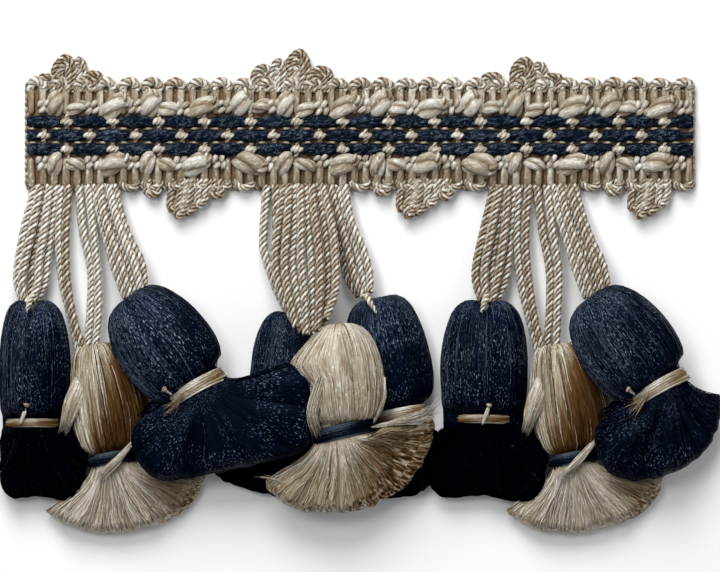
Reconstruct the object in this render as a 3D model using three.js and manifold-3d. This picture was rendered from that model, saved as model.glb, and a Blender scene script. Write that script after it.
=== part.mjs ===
// A cut length of tassel fringe trim, lying face up on a table.
// A woven heading carries three groups of twisted hanger cords, and each group holds three tassels.
// Millimetres, +Z up. X runs along the heading and Y across it, away from the tassels.
// The origin is the middle of the heading's flat back.
import * as THREE from "three";
import { mergeVertices } from "three/addons/utils/BufferGeometryUtils.js";
import Module from "manifold-3d";

const wasm = await Module();
wasm.setup();

// Driving sizes of the trim.
const LENGTH = 132.8;
const REPEAT = 91.7; // two tassel groups
const GROUP_PITCH = REPEAT / 2;
const DASH_PITCH = REPEAT / 10; // one navy float and the bead that ties it down
const PICOT_PITCH = DASH_PITCH / 2;
const CLEAR = 0.3; // air between pieces that touch

// The heading: a flat field under the navy yarns, and a ribbed band along each edge,
// with slub lumps and picots.
const FIELD_TOP = 1.6;
const NAVY = {
  rows: [2.75, 0, -2.75], width: 1.8, bottom: FIELD_TOP + CLEAR,
  dip: 2.35, float: 3.4, rise: 2.93,
};
const BINDER = { lines: [4.125, 1.375, -1.375, -4.125], width: 0.35, bottom: FIELD_TOP + CLEAR, top: 3.2 };
const BEAD = { along: 1.3, across: 1.5, up: 0.5, middle: 3.12, first: -12.6 };
const BAND = {
  field: { y: 4.6, z: FIELD_TOP },
  slubRow: { y: 5.9, z: 1.9 },
  ribRow: { y: 8.9, valley: 1.6, crest: 2.5 },
  edge: { y: 10.3, picot: 1.3, top: 1.3, undercut: 0.3 },
};
const SLUBS = [
  { shift: -1.0, half: 2.9, rise: 2.1, slant: -0.8 },
  { shift: 3.0, half: 1.8, rise: 1.2, slant: 0.8 },
];

// Loops of cord that stand out of the edges, in a cluster above each group and between groups.
const LOOP = { half: 0.85, middle: 1.5, sunk: 1.2, steps: 5, shoulder: 0.55, shoulderLean: 0.6 };
const LOW_FIRST = 10.6; // the middle of a low cluster
const TOP_CLUSTERS = [-1, 0, 1].map((k) => BEAD.first + k * GROUP_PITCH);
const LOW_CLUSTERS = [-1, 0, 1].map((k) => LOW_FIRST + k * GROUP_PITCH);
const LOOPS = [
  { shift: -6.4, reach: 2.2, spread: 1.2, lean: -0.6 },
  { shift: -3.4, reach: 3.8, spread: 1.3, lean: -0.2 },
  { shift: 0.3, reach: 6.0, spread: 1.7, lean: 0.9 },
  { shift: 4.2, reach: 3.4, spread: 1.4, lean: 0.6 },
];

// The tassels. A head narrows to a tied neck, and its skirt of locks fans out below.
// Left, right and up are half sizes of the head, and z is the height of the head's middle line.
// Fan angles are degrees from -Y towards +X. Reach and lift are given at its two sides and middle:
// reach is from the neck to a lock's end, and lift is the height of the lowest lock's underside there.
const TASSELS = [
  {
    name: "navy_left_1", yarn: "navy", top: [-65.2, -33.2], neck: [-65.2, -57.0],
    left: 6.2, right: 7.2, up: 5.5, crown: 1, neckHalf: 4.0, zTop: 5.0, zNeck: 3.7,
    fan: { angles: [-26, 58], reach: [14.8, 15.6, 11.8], lift: [0, 0, 1.0] },
  },
  {
    name: "beige_left_2", yarn: "beige", top: [-53.1, -42.2], neck: [-49.3, -64.4],
    left: 7.8, right: 6.2, up: 4.8, crown: 0.72, neckHalf: 3.8, zTop: 4.4, zNeck: 3.7,
    fan: { angles: [-51, 82], reach: [17.4, 15.0, 18.6], lift: [0, 0, 0] },
  },
  {
    name: "navy_left_3", yarn: "navy", top: [-43.1, -30.2], neck: [-32.3, -50.0],
    left: 9.6, right: 8.2, up: 5.5, crown: 0.86, neckHalf: 4.6, zTop: 7.5, zNeck: 8.0,
    fan: { angles: [-56, 102], reach: [17.5, 18.6, 20.4], lift: [8.3, 6.4, 11.2] },
  },
  {
    name: "navy_middle_1", yarn: "navy", top: [-14.4, -35.0], neck: [-16.4, -57.0],
    left: 6.8, right: 5.2, up: 4.8, crown: 1, neckHalf: 4.0, zTop: 4.6, zNeck: 3.7,
    fan: { angles: [-52, 26], reach: [16.4, 14.8, 15.2], lift: [0, 0, 0] },
  },
  {
    name: "beige_middle_2", yarn: "beige", top: [-5.4, -37.8], neck: [-3.0, -58.2],
    left: 7.6, right: 9.4, up: 5.3, crown: 0.88, neckHalf: 5.0, zTop: 13.7, zNeck: 10.2,
    fan: { angles: [-57, 108], reach: [19.3, 16.2, 18.6], lift: [5.4, 5.2, 9.6] },
  },
  {
    name: "navy_middle_3", yarn: "navy", top: [3.2, -32.0], neck: [8.0, -55.2],
    left: 7.2, right: 8.4, up: 5.0, crown: 1, neckHalf: 4.3, zTop: 4.8, zNeck: 3.7,
    fan: { angles: [-32, 48], reach: [17.0, 15.4, 10.4], lift: [0, 0, 0] },
  },
  {
    name: "navy_right_1", yarn: "navy", top: [25.4, -33.2], neck: [24.4, -57.0],
    left: 8.2, right: 8.4, up: 5.5, crown: 1, neckHalf: 4.3, zTop: 5.0, zNeck: 3.7,
    fan: { angles: [-42, 58], reach: [15.3, 16.0, 13.4], lift: [0, 0, 1.0] },
  },
  {
    name: "beige_right_2", yarn: "beige", top: [38.6, -42.2], neck: [42.4, -64.4],
    left: 7.8, right: 6.2, up: 4.8, crown: 0.72, neckHalf: 3.8, zTop: 4.4, zNeck: 3.7,
    fan: { angles: [-51, 82], reach: [17.4, 15.0, 19.2], lift: [0, 0, 0] },
  },
  {
    name: "navy_right_3", yarn: "navy", top: [48.6, -30.2], neck: [59.4, -50.0],
    left: 9.6, right: 8.2, up: 5.5, crown: 0.86, neckHalf: 4.6, zTop: 7.5, zNeck: 8.0,
    fan: { angles: [-56, 88], reach: [17.5, 17.8, 9.5], lift: [8.3, 5.6, 1.0] },
  },
];

// Stations down a tassel head: place along the line from neck to top, with a dimple in the crown.
const HEAD_SIDES = 10;
const HEAD_PROFILE = [
  { along: 0.9, bulb: 0.07, neck: 0 },
  { along: 0.97, bulb: 0.2, neck: 0 },
  { along: 1.0, bulb: 0.46, neck: 0 },
  { along: 0.94, bulb: 0.76, neck: 0 },
  { along: 0.8, bulb: 0.95, neck: 0 },
  { along: 0.58, bulb: 1, neck: 0 },
  { along: 0.34, bulb: 0.95, neck: 0 },
  { along: 0.17, bulb: 0.82, neck: 0 },
  { along: 0.084, bulb: 0, neck: 1 },
  { along: -0.1, bulb: 0, neck: 1 },
];
const NECK_UP = 2.6;
const TIE = { width: 2.0, thick: 0.7 };
// The locks of a skirt. Leave and arrive are the shares of its reach over which a lock bends at its ends.
const LOCKS = {
  across: 6, layers: 2, up: 2.1, gap: 0.4, steps: 3,
  start: -1.2, rootUp: 0.55, rootLayer: 1.64, rootInset: 1.6, rootGap: 0.06, endGap: 0.2,
  leave: 0.3, arrive: 0.4,
};

// The hanger cords lie in two layers, which come closer at both ends.
const CORD = {
  steps: 5, rootY: -11.4, rootZ: 1.7, endSpread: 1.15, early: 0.7,
  half: { root: 0.7, belly: 1.0, end: 0.5 },
  layer: { root: 0.6875, belly: 1.25, end: 0.75 },
};
const STRIP = { upper: -BAND.edge.y - CLEAR, lower: -12.3, top: 3.3, margin: 1.4 };
// Each row is a bundle: the x of its roots and bellies, for its first and last cord, the place of its belly,
// and how far to the side of the tassel's top it ends.
const BUNDLES = {
  left: [
    {
      to: "navy_left_1", count: 4, roots: [-65.0, -60.6],
      belly: [-67.0, -61.8], y: -23.8, z: 3.4, end: -0.4,
    },
    {
      to: "beige_left_2", count: 2, roots: [-58.8, -56.8],
      belly: [-59.2, -57.0], y: -26.8, z: 3.2, end: -2.4,
    },
    {
      to: "beige_left_2", count: 2, roots: [-55.4, -53.4],
      belly: [-53.8, -51.6], y: -26.8, z: 3.2, end: 0.2,
    },
    {
      to: "navy_left_3", count: 4, roots: [-52.0, -48.2],
      belly: [-49.6, -45.2], y: -21.8, z: 5.0, end: 0,
    },
  ],
  middle: [
    {
      to: "navy_middle_1", count: 2, roots: [-19.4, -17.2],
      belly: [-19.6, -17.2], y: -22.8, z: 3.0, end: -0.6,
    },
    {
      to: "beige_middle_2", count: 5, roots: [-15.2, -8.6],
      belly: [-14.4, -5.6], y: -26.8, z: 9.6, end: -3.2,
    },
    {
      to: "navy_middle_3", count: 4, roots: [-6.8, -3.2],
      belly: [-3.2, 1.6], y: -23.8, z: 3.4, end: -1.6,
    },
  ],
  right: [
    {
      to: "navy_right_1", count: 4, roots: [25.8, 31.0],
      belly: [23.2, 29.4], y: -23.8, z: 3.4, end: -0.4,
    },
    {
      to: "beige_right_2", count: 2, roots: [32.9, 34.9],
      belly: [32.5, 34.7], y: -26.8, z: 3.2, end: -2.4,
    },
    {
      to: "beige_right_2", count: 2, roots: [36.3, 38.3],
      belly: [37.9, 40.1], y: -26.8, z: 3.2, end: 0.2,
    },
    {
      to: "navy_right_3", count: 4, roots: [39.7, 43.5],
      belly: [42.1, 46.5], y: -21.8, z: 5.0, end: 0,
    },
  ],
};

// Finishes.
const beigeYarn = new THREE.MeshStandardMaterial({ color: 0xb5a690, roughness: 0.6, metalness: 0 });
const navyYarn = new THREE.MeshStandardMaterial({ color: 0x141c2e, roughness: 0.5, metalness: 0 });
const YARNS = { beige: beigeYarn, navy: navyYarn };

const UP = new THREE.Vector3(0, 0, 1);
const WELD = 1e-4;
const mix = THREE.MathUtils.lerp;
const radians = THREE.MathUtils.degToRad;

// A closed geometry as a solid that can be joined to others.
function solidOf(geometry) {
  const bare = new THREE.BufferGeometry();
  bare.setAttribute("position", geometry.attributes.position.clone());
  bare.setIndex(geometry.index ? geometry.index.clone() : null);
  const merged = mergeVertices(bare, WELD);
  const vertProperties = merged.attributes.position.array;
  return new wasm.Manifold(
    new wasm.Mesh({ numProp: 3, vertProperties, triVerts: new Uint32Array(merged.index.array) }),
  );
}

// Many closed geometries as one.
function fuse(geometries) {
  const whole = geometries.map(solidOf).reduce((sum, piece) => sum.add(piece));
  const { vertProperties, triVerts } = whole.getMesh();
  const geometry = new THREE.BufferGeometry();
  geometry.setAttribute("position", new THREE.BufferAttribute(new Float32Array(vertProperties), 3));
  geometry.setIndex(new THREE.BufferAttribute(new Uint32Array(triVerts), 1));
  geometry.computeVertexNormals();
  return geometry;
}

// Moves each corner of a geometry to where place() puts it.
function moveEach(geometry, place) {
  const position = geometry.attributes.position;
  const corner = new THREE.Vector3();
  for (let i = 0; i < position.count; i += 1) {
    const moved = place(corner.fromBufferAttribute(position, i));
    position.setXYZ(i, moved.x, moved.y, moved.z);
  }
  return geometry;
}

// A four-sided strand along a curve. halfAcross and halfUp give its section at a share of its length.
function strand(curve, steps, halfAcross, halfUp) {
  const square = new THREE.BoxGeometry(2, 1, 2, 1, steps, 1);
  return moveEach(square, (corner) => {
    const share = 0.5 - corner.y;
    const along = curve.getTangent(share);
    const across = new THREE.Vector3().crossVectors(UP, along).normalize();
    const up = new THREE.Vector3().crossVectors(along, across);
    return curve
      .getPoint(share)
      .addScaledVector(across, corner.x * halfAcross(share))
      .addScaledVector(up, corner.z * halfUp(share));
  });
}

// A value that passes through three numbers at the shares 0, a half and 1.
function through([first, middle, last], share) {
  const rest = 1 - share;
  return first * rest * (rest - share) + middle * 4 * share * rest + last * share * (share - rest);
}

// Places along the heading at a pitch, one of them on `first`, kept `margin` inside its ends.
function placesAlong(first, pitch, margin) {
  const reach = LENGTH / 2 - margin;
  const lowest = first - Math.floor((first + reach) / pitch) * pitch;
  const count = Math.floor((reach - lowest) / pitch) + 1;
  return Array.from({ length: count }, (_, k) => lowest + k * pitch);
}

// How far x lies from the nearest place of a repeat, in units of its pitch, from -0.5 to 0.5.
function phase(x, first, pitch) {
  const turns = (x - first) / pitch;
  return turns - Math.round(turns);
}

// The stretch of the lower edge that a hanger strip takes up.
function stripSpan(bundles) {
  const ends = bundles.flatMap((bundle) => bundle.roots);
  return [Math.max(Math.min(...ends) - STRIP.margin, -LENGTH / 2), Math.max(...ends) + STRIP.margin];
}
const STRIP_SPANS = Object.values(BUNDLES).map(stripSpan);
function besideStrip(x) {
  const margin = PICOT_PITCH / 2;
  return STRIP_SPANS.some(([from, to]) => x > from - margin && x < to + margin);
}

// The corners of the heading's section at x along one edge, from its foot to the field.
// Side is 1 for the upper edge and -1 for the lower.
function edgeCorners(x, side) {
  const picot = phase(x, BEAD.first, PICOT_PITCH);
  const scallop = side < 0 && besideStrip(x) ? 0 : BAND.edge.picot * (1 - (2 * picot) ** 2);
  const rib = Math.abs(Math.sin(2 * Math.PI * picot));
  const atEnd = Math.abs(x) === LENGTH / 2;
  const slub = { y: side * BAND.slubRow.y, z: BAND.slubRow.z };
  for (const { shift, half, rise, slant } of SLUBS) {
    const from = phase(x, BEAD.first + shift, DASH_PITCH) * (DASH_PITCH / half);
    if (Math.abs(from) < 1 && !atEnd) {
      slub.y += slant * from;
      slub.z += rise * Math.cos((Math.PI / 2) * from) ** 2;
    }
  }
  const outer = BAND.edge.y + scallop;
  return [
    { y: side * (outer - BAND.edge.undercut), z: 0 },
    { y: side * outer, z: BAND.edge.top },
    { y: side * BAND.ribRow.y, z: mix(BAND.ribRow.valley, BAND.ribRow.crest, rib) },
    slub,
    { y: side * BAND.field.y, z: BAND.field.z },
  ];
}

// The woven ground of the heading: one section carried along X, with a station at each rib and each valley.
function groundGeometry() {
  const stations = [-LENGTH / 2, ...placesAlong(BEAD.first, PICOT_PITCH / 4, CLEAR), LENGTH / 2];
  const sections = stations.map((x) => [...edgeCorners(x, 1), ...edgeCorners(x, -1).reverse()]);
  const corners = sections[0].length;
  const spans = stations.length - 1;
  const drum = new THREE.CylinderGeometry(1, 1, 1, corners, spans);
  return moveEach(drum, (corner) => {
    const station = Math.round((0.5 + corner.y) * spans);
    const turn = Math.round((Math.atan2(corner.x, corner.z) / (2 * Math.PI)) * corners + corners) % corners;
    const onAxis = Math.hypot(corner.x, corner.z) < 0.5;
    const point = onAxis ? { y: 0, z: CLEAR } : sections[station][turn];
    return corner.set(stations[station], point.y, point.z);
  });
}

// A loop of cord from an edge, standing out towards side (1 or -1).
function edgeLoop({ shift, reach, spread, lean }, x, side) {
  const edge = side * BAND.edge.y;
  const at = (dx, out) => new THREE.Vector3(x + shift + dx, edge + side * out, LOOP.middle);
  const curve = new THREE.CatmullRomCurve3([
    at(-spread, -LOOP.sunk),
    at(-spread + lean * LOOP.shoulderLean, reach * LOOP.shoulder),
    at(lean, reach - LOOP.half),
    at(spread + lean * LOOP.shoulderLean, reach * LOOP.shoulder),
    at(spread, -LOOP.sunk),
  ]);
  const half = () => LOOP.half;
  return strand(curve, LOOP.steps, half, half);
}

// The first bead of a row: the middle row is half a pitch along from the other two.
const firstBead = (row) => BEAD.first + (row % 2) * (DASH_PITCH / 2);

function makeHeading() {
  const pieces = [groundGeometry()];
  for (const loop of LOOPS) {
    const fits = (x) => Math.abs(x + loop.shift) + loop.spread + 2 * LOOP.half < LENGTH / 2;
    pieces.push(...TOP_CLUSTERS.filter(fits).map((x) => edgeLoop(loop, x, 1)));
    pieces.push(...LOW_CLUSTERS.filter(fits).map((x) => edgeLoop(loop, x, -1)));
  }
  return new THREE.Mesh(fuse(pieces), beigeYarn);
}

// The binder yarns: four lines along the heading, bridged over the navy yarns by small beads.
function makeBinder() {
  const pieces = BINDER.lines.map((y) => {
    const line = new THREE.BoxGeometry(LENGTH, BINDER.width, BINDER.top - BINDER.bottom);
    return line.translate(0, y, (BINDER.top + BINDER.bottom) / 2);
  });
  NAVY.rows.forEach((y, row) => {
    for (const x of placesAlong(firstBead(row), DASH_PITCH, BEAD.along)) {
      const bead = new THREE.OctahedronGeometry(1).scale(BEAD.along, BEAD.across, BEAD.up);
      pieces.push(bead.translate(x, y, BEAD.middle));
    }
  });
  return new THREE.Mesh(fuse(pieces), beigeYarn);
}

// One of the three navy yarns: it floats over the heading and dips under each bead.
function makeNavyYarn(row) {
  const turns = placesAlong(firstBead(row), DASH_PITCH, NAVY.rise + CLEAR).flatMap((bead) => [
    { x: bead - NAVY.rise, z: NAVY.float },
    { x: bead - BEAD.along, z: NAVY.dip },
    { x: bead + BEAD.along, z: NAVY.dip },
    { x: bead + NAVY.rise, z: NAVY.float },
  ]);
  const stations = [{ x: -LENGTH / 2, z: NAVY.dip }, ...turns, { x: LENGTH / 2, z: NAVY.dip }];
  const yarn = new THREE.BoxGeometry(1, NAVY.width, 1, stations.length - 1, 1, 1);
  moveEach(yarn, (corner) => {
    const station = stations[Math.round((corner.x + 0.5) * (stations.length - 1))];
    return corner.set(station.x, corner.y + NAVY.rows[row], corner.z > 0 ? station.z : NAVY.bottom);
  });
  return new THREE.Mesh(yarn, navyYarn);
}

// The head of a tassel in its own frame: the neck at the origin and the top towards +Y.
function headGeometry(tassel, length) {
  const spans = HEAD_PROFILE.length - 1;
  const drum = new THREE.CylinderGeometry(1, 1, 1, HEAD_SIDES, spans);
  return moveEach(drum, (corner) => {
    const row = HEAD_PROFILE[Math.round((0.5 - corner.y) * spans)];
    const side = corner.x < 0 ? tassel.left : tassel.right;
    const crown = mix(1, tassel.crown, THREE.MathUtils.smoothstep(row.along, 0.4, 0.95));
    const halfAcross = row.bulb * crown * side + row.neck * tassel.neckHalf;
    const halfUp = row.bulb * tassel.up + row.neck * NECK_UP;
    const middle = mix(tassel.zNeck, tassel.zTop, row.along);
    const z = Math.max(middle + corner.z * halfUp, 0);
    return corner.set(corner.x * halfAcross, row.along * length, z);
  });
}

// The middle line of a skirt's strands at a share of the fan: out of the neck, and level at the end.
function fanCurve(tassel, lean, share, layer) {
  const { angles, reach, lift } = tassel.fan;
  const angle = radians(mix(...angles, share)) - lean;
  const length = through(reach, share);
  const above = layer - (LOCKS.layers - 1) / 2;
  const underside = Math.max(through(lift, share), 0);
  const endZ = underside + (LOCKS.up + LOCKS.gap) * (above + LOCKS.layers / 2) - LOCKS.gap / 2;
  const out = new THREE.Vector3(Math.sin(angle), -Math.cos(angle), 0);
  const rootX = (share - 0.5) * 2 * (tassel.neckHalf - LOCKS.rootInset);
  const root = new THREE.Vector3(rootX, LOCKS.start, tassel.zNeck + above * LOCKS.rootLayer);
  const end = out.clone().multiplyScalar(length).setZ(endZ);
  return new THREE.CubicBezierCurve3(
    root,
    root.clone().add(new THREE.Vector3(0, -length * LOCKS.leave, 0)),
    end.clone().addScaledVector(out, -length * LOCKS.arrive),
    end,
  );
}

// One lock of a skirt, in the tassel's own frame, as wide as the fan leaves room for.
function lockGeometry(tassel, lean, k, layer) {
  const share = (k + 0.5) / LOCKS.across;
  const [before, after] = [k, k + 1].map((edge) => fanCurve(tassel, lean, edge / LOCKS.across, layer));
  const room = (s) => before.getPoint(s).distanceTo(after.getPoint(s));
  const halfAcross = (s) => room(s) / 2 - mix(LOCKS.rootGap, LOCKS.endGap, s);
  const halfUp = (s) => mix(LOCKS.rootUp, LOCKS.up / 2, s);
  return strand(fanCurve(tassel, lean, share, layer), LOCKS.steps, halfAcross, halfUp);
}

// The thread wound round a tassel's neck: a flat oval ring.
function tieGeometry(neckHalf) {
  const hole = { half: neckHalf + CLEAR, up: NECK_UP + CLEAR };
  const start = Math.PI / 2; // the ring's corners stand over the neck's
  const ring = new THREE.Shape();
  ring.absellipse(0, 0, hole.half + TIE.thick, hole.up + TIE.thick, start, start + Math.PI * 2);
  const opening = new THREE.Path();
  opening.absellipse(0, 0, hole.half, hole.up, start, start + Math.PI * 2);
  ring.holes.push(opening);
  const options = { depth: TIE.width, bevelEnabled: false, curveSegments: HEAD_SIDES / 2 };
  return new THREE.ExtrudeGeometry(ring, options).translate(0, 0, -TIE.width / 2);
}

function makeTassel(tassel) {
  const [dx, dy] = [tassel.neck[0] - tassel.top[0], tassel.neck[1] - tassel.top[1]];
  const lean = Math.atan2(dx, -dy);
  const length = Math.hypot(dx, dy);
  const pieces = [headGeometry(tassel, length)];
  for (let layer = 0; layer < LOCKS.layers; layer += 1) {
    for (let k = 0; k < LOCKS.across; k += 1) {
      pieces.push(lockGeometry(tassel, lean, k, layer));
    }
  }
  const yarn = named(`tassel_${tassel.name}`, new THREE.Mesh(fuse(pieces), YARNS[tassel.yarn]));
  const tieYarn = tassel.yarn === "navy" ? beigeYarn : navyYarn;
  const tie = named(`tie_${tassel.name}`, new THREE.Mesh(tieGeometry(tassel.neckHalf), tieYarn));
  tie.position.set(0, 0, tassel.zNeck);
  tie.rotation.x = Math.PI / 2 + Math.atan2(tassel.zTop - tassel.zNeck, length);
  const group = new THREE.Group();
  group.position.set(tassel.neck[0], tassel.neck[1], 0);
  group.rotation.z = lean;
  group.add(yarn, tie);
  return group;
}

// One bundle's cords: they leave the strip, belly out and gather at the dimple of a tassel's crown.
function cordGeometries(bundle) {
  const tassel = TASSELS.find((row) => row.name === bundle.to);
  return Array.from({ length: bundle.count }, (_, k) => {
    const share = k / (bundle.count - 1);
    const over = k % 2 ? 1 : -1;
    const endX = tassel.top[0] + bundle.end + mix(-1, 1, share) * CORD.endSpread;
    const endY = tassel.top[1] + CORD.half.end + CLEAR / 2;
    const end = new THREE.Vector3(endX, endY, tassel.zTop + over * CORD.layer.end);
    const bellyZ = bundle.z + over * CORD.layer.belly;
    const belly = new THREE.Vector3(mix(...bundle.belly, share), bundle.y, bellyZ);
    const rootZ = CORD.rootZ + over * CORD.layer.root;
    const root = new THREE.Vector3(mix(...bundle.roots, share), CORD.rootY, rootZ);
    const upper = root.clone().lerp(belly, 0.5).setZ(mix(root.z, belly.z, CORD.early));
    const curve = new THREE.CatmullRomCurve3([root, upper, belly, end]);
    const { root: first, belly: widest, end: last } = CORD.half;
    const half = (s) => (s < 0.5 ? mix(first, widest, s * 2) : mix(widest, last, s * 2 - 1));
    return strand(curve, CORD.steps, half, half);
  });
}

function makeHangers(bundles) {
  const [from, to] = stripSpan(bundles);
  const strip = new THREE.BoxGeometry(to - from, STRIP.upper - STRIP.lower, STRIP.top);
  strip.translate((from + to) / 2, (STRIP.upper + STRIP.lower) / 2, STRIP.top / 2);
  return new THREE.Mesh(fuse([strip, ...bundles.flatMap(cordGeometries)]), beigeYarn);
}

function named(name, mesh) {
  mesh.name = name;
  return mesh;
}

const trim = new THREE.Group();
trim.add(named("heading", makeHeading()), named("binder_yarns", makeBinder()));
["upper", "middle", "lower"].forEach((place, row) => {
  trim.add(named(`navy_yarn_${place}`, makeNavyYarn(row)));
});
for (const [side, bundles] of Object.entries(BUNDLES)) {
  trim.add(named(`hangers_${side}`, makeHangers(bundles)));
}
trim.add(...TASSELS.map(makeTassel));

export default trim;
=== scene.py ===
import math
import bpy
import numpy as np
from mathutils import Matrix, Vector


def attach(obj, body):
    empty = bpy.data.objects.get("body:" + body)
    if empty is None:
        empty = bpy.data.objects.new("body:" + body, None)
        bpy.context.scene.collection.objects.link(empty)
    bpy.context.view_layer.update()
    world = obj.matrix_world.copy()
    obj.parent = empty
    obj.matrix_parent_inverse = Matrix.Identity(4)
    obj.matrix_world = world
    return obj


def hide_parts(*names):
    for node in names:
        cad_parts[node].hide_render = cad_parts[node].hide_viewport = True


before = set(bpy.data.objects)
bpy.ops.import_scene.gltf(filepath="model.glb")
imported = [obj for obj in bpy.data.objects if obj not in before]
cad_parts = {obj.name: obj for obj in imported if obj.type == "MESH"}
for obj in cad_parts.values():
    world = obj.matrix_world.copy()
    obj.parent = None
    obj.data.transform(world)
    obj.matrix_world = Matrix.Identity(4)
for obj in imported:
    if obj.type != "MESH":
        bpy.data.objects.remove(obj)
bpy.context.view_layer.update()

bpy.ops.object.select_all(action="DESELECT")
rng = np.random.default_rng(31)
mm = 0.001
zUp = np.array([0.0, 0.0, 1.0])
print("frame loaded:", len(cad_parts), "nodes")

# Everything below is in millimetres in the trim's own frame: x along the heading, y away from the tassels,
# z up from the table. makePiece turns it into metres.

# materials

def feed(tree, node, sources):
    # each named input of a node is joined to an output or given a value
    for name, source in sources.items():
        if isinstance(source, bpy.types.NodeSocket):
            tree.links.new(source, node.inputs[name])
        else:
            node.inputs[name].default_value = source


def nodeIn(tree, kind, place, sources=None, **settings):
    node = tree.nodes.new(kind)
    node.location = place
    for key, value in settings.items():
        setattr(node, key, value)
    feed(tree, node, sources or {})
    return node


def mathIn(tree, place, operation, *sources):
    return nodeIn(tree, "ShaderNodeMath", place, dict(enumerate(sources)), operation=operation).outputs[0]


def rangeIn(tree, place, value, given, wanted=(0.0, 1.0), **settings):
    # values from one range to another
    sources = dict(zip(("Value", "From Min", "From Max", "To Min", "To Max"), (value, *given, *wanted)))
    return nodeIn(tree, "ShaderNodeMapRange", place, sources, **settings).outputs[0]


def mixIn(tree, place, share, first, second):
    sources = {"Factor": share, "A": first, "B": second}
    return nodeIn(tree, "ShaderNodeMix", place, sources, data_type="RGBA").outputs["Result"]


def noiseIn(tree, place, vector, scale, **sources):
    return nodeIn(tree, "ShaderNodeTexNoise", place, {"Vector": vector, "Scale": scale, **sources}).outputs[0]


def newGroup(name, colours, values, results):
    # a shader group with its inputs and outputs, and the sockets that bring its inputs
    group = bpy.data.node_groups.new(name, "ShaderNodeTree")
    for socket in colours:
        group.interface.new_socket(name=socket, in_out="INPUT", socket_type="NodeSocketColor")
    for socket, value in values.items():
        made = group.interface.new_socket(name=socket, in_out="INPUT", socket_type="NodeSocketFloat")
        made.default_value = value
    for socket, kind in results.items():
        group.interface.new_socket(name=socket, in_out="OUTPUT", socket_type="NodeSocket" + kind)
    return group, nodeIn(group, "NodeGroupInput", (-900, 0)).outputs


def fibreGroup():
    # streaks drawn out along the yarn, small specks that give painted glints where fibres catch the light,
    # patches with more of them
    group, given = newGroup("fibreStreaks", (), {"Along": 0.5, "Around": 4.0, "Speck Scale": 3.0},
                            {"Streak": "Float", "Speck": "Float", "Patch": "Float"})
    yarnMap = nodeIn(group, "ShaderNodeUVMap", (-900, 200), uv_map="yarn").outputs["UV"]
    split = nodeIn(group, "ShaderNodeSeparateXYZ", (-720, 200), {0: yarnMap}).outputs
    along = mathIn(group, (-540, 260), "MULTIPLY", split["X"], given["Along"])
    around = mathIn(group, (-540, 100), "MULTIPLY", split["Y"], given["Around"])
    drawnOut = nodeIn(group, "ShaderNodeCombineXYZ", (-360, 200), {"X": along, "Y": around}).outputs[0]
    streak = noiseIn(group, (-180, 200), drawnOut, 1.0, Detail=3.0)
    stretch = {"Vector": yarnMap, "Scale": (0.55, 1.0, 1.0)}
    longer = nodeIn(group, "ShaderNodeMapping", (-360, -100), stretch).outputs[0]
    speck = noiseIn(group, (-180, -100), longer, given["Speck Scale"], Detail=1.0)
    place = nodeIn(group, "ShaderNodeTexCoord", (-540, -400)).outputs["Object"]
    patch = noiseIn(group, (-360, -400), place, 150.0)
    uneven = rangeIn(group, (-180, -400), patch, (0.38, 0.62), (0.3, 1.5))
    nodeIn(group, "NodeGroupOutput", (300, 0), {"Streak": streak, "Speck": speck, "Patch": uneven})
    return group


def colourGroup():
    # the mesh's own tone picks a colour from umber through deep and middle to pale; streaks and glints, the
    # glints painted highlights, shift it, less where the yarn is dark
    values = {"Streak": 0.5, "Streak Share": 0.3, "Speck": 0.5, "Patch": 1.0, "Glint": 0.3}
    group, given = newGroup("yarnColour", ("Umber", "Deep", "Middle", "Pale"), values, {"Colour": "Color"})
    tone = nodeIn(group, "ShaderNodeAttribute", (-900, 300), attribute_name="tone").outputs["Fac"]
    darkToLight = (-0.1, 0.4)
    steady = rangeIn(group, (-700, 560), tone, darkToLight, (0.8, 1.0))
    calm = rangeIn(group, (-700, 300), tone, darkToLight, (0.4, 1.0))
    own = mathIn(group, (-520, 100), "MULTIPLY", steady, given["Streak Share"])
    centred = mathIn(group, (-700, -100), "SUBTRACT", given["Streak"], 0.5)
    share = mathIn(group, (-520, -100), "MULTIPLY", centred, own)
    streaked = mathIn(group, (-340, 100), "ADD", tone, share)
    # glints: specks of painted highlight, more of them in patches, fewer where the yarn is dark
    bright = rangeIn(group, (-700, -320), given["Speck"], (0.56, 0.72), interpolation_type="SMOOTHSTEP")
    strength = mathIn(group, (-700, -500), "MULTIPLY", given["Glint"], given["Patch"])
    quiet = mathIn(group, (-520, -500), "MULTIPLY", strength, calm)
    total = mathIn(group, (-340, -320), "MULTIPLY_ADD", bright, quiet, streaked)
    # tones below zero, which painted shade mostly brings, mix from deep down to umber
    shadeMix = rangeIn(group, (-160, 480), total, (-0.6, 0.0))
    lower = rangeIn(group, (-160, 200), total, (0.0, 0.5))
    upper = rangeIn(group, (-160, -80), total, (0.5, 1.0))
    dark = mixIn(group, (60, 420), shadeMix, given["Umber"], given["Deep"])
    usualColour = mixIn(group, (60, 150), lower, dark, given["Middle"])
    lit = mixIn(group, (260, 50), upper, usualColour, given["Pale"])
    nodeIn(group, "NodeGroupOutput", (500, 0), {"Colour": lit})
    return group


fibreStreaks = fibreGroup()
yarnColour = colourGroup()
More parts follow.
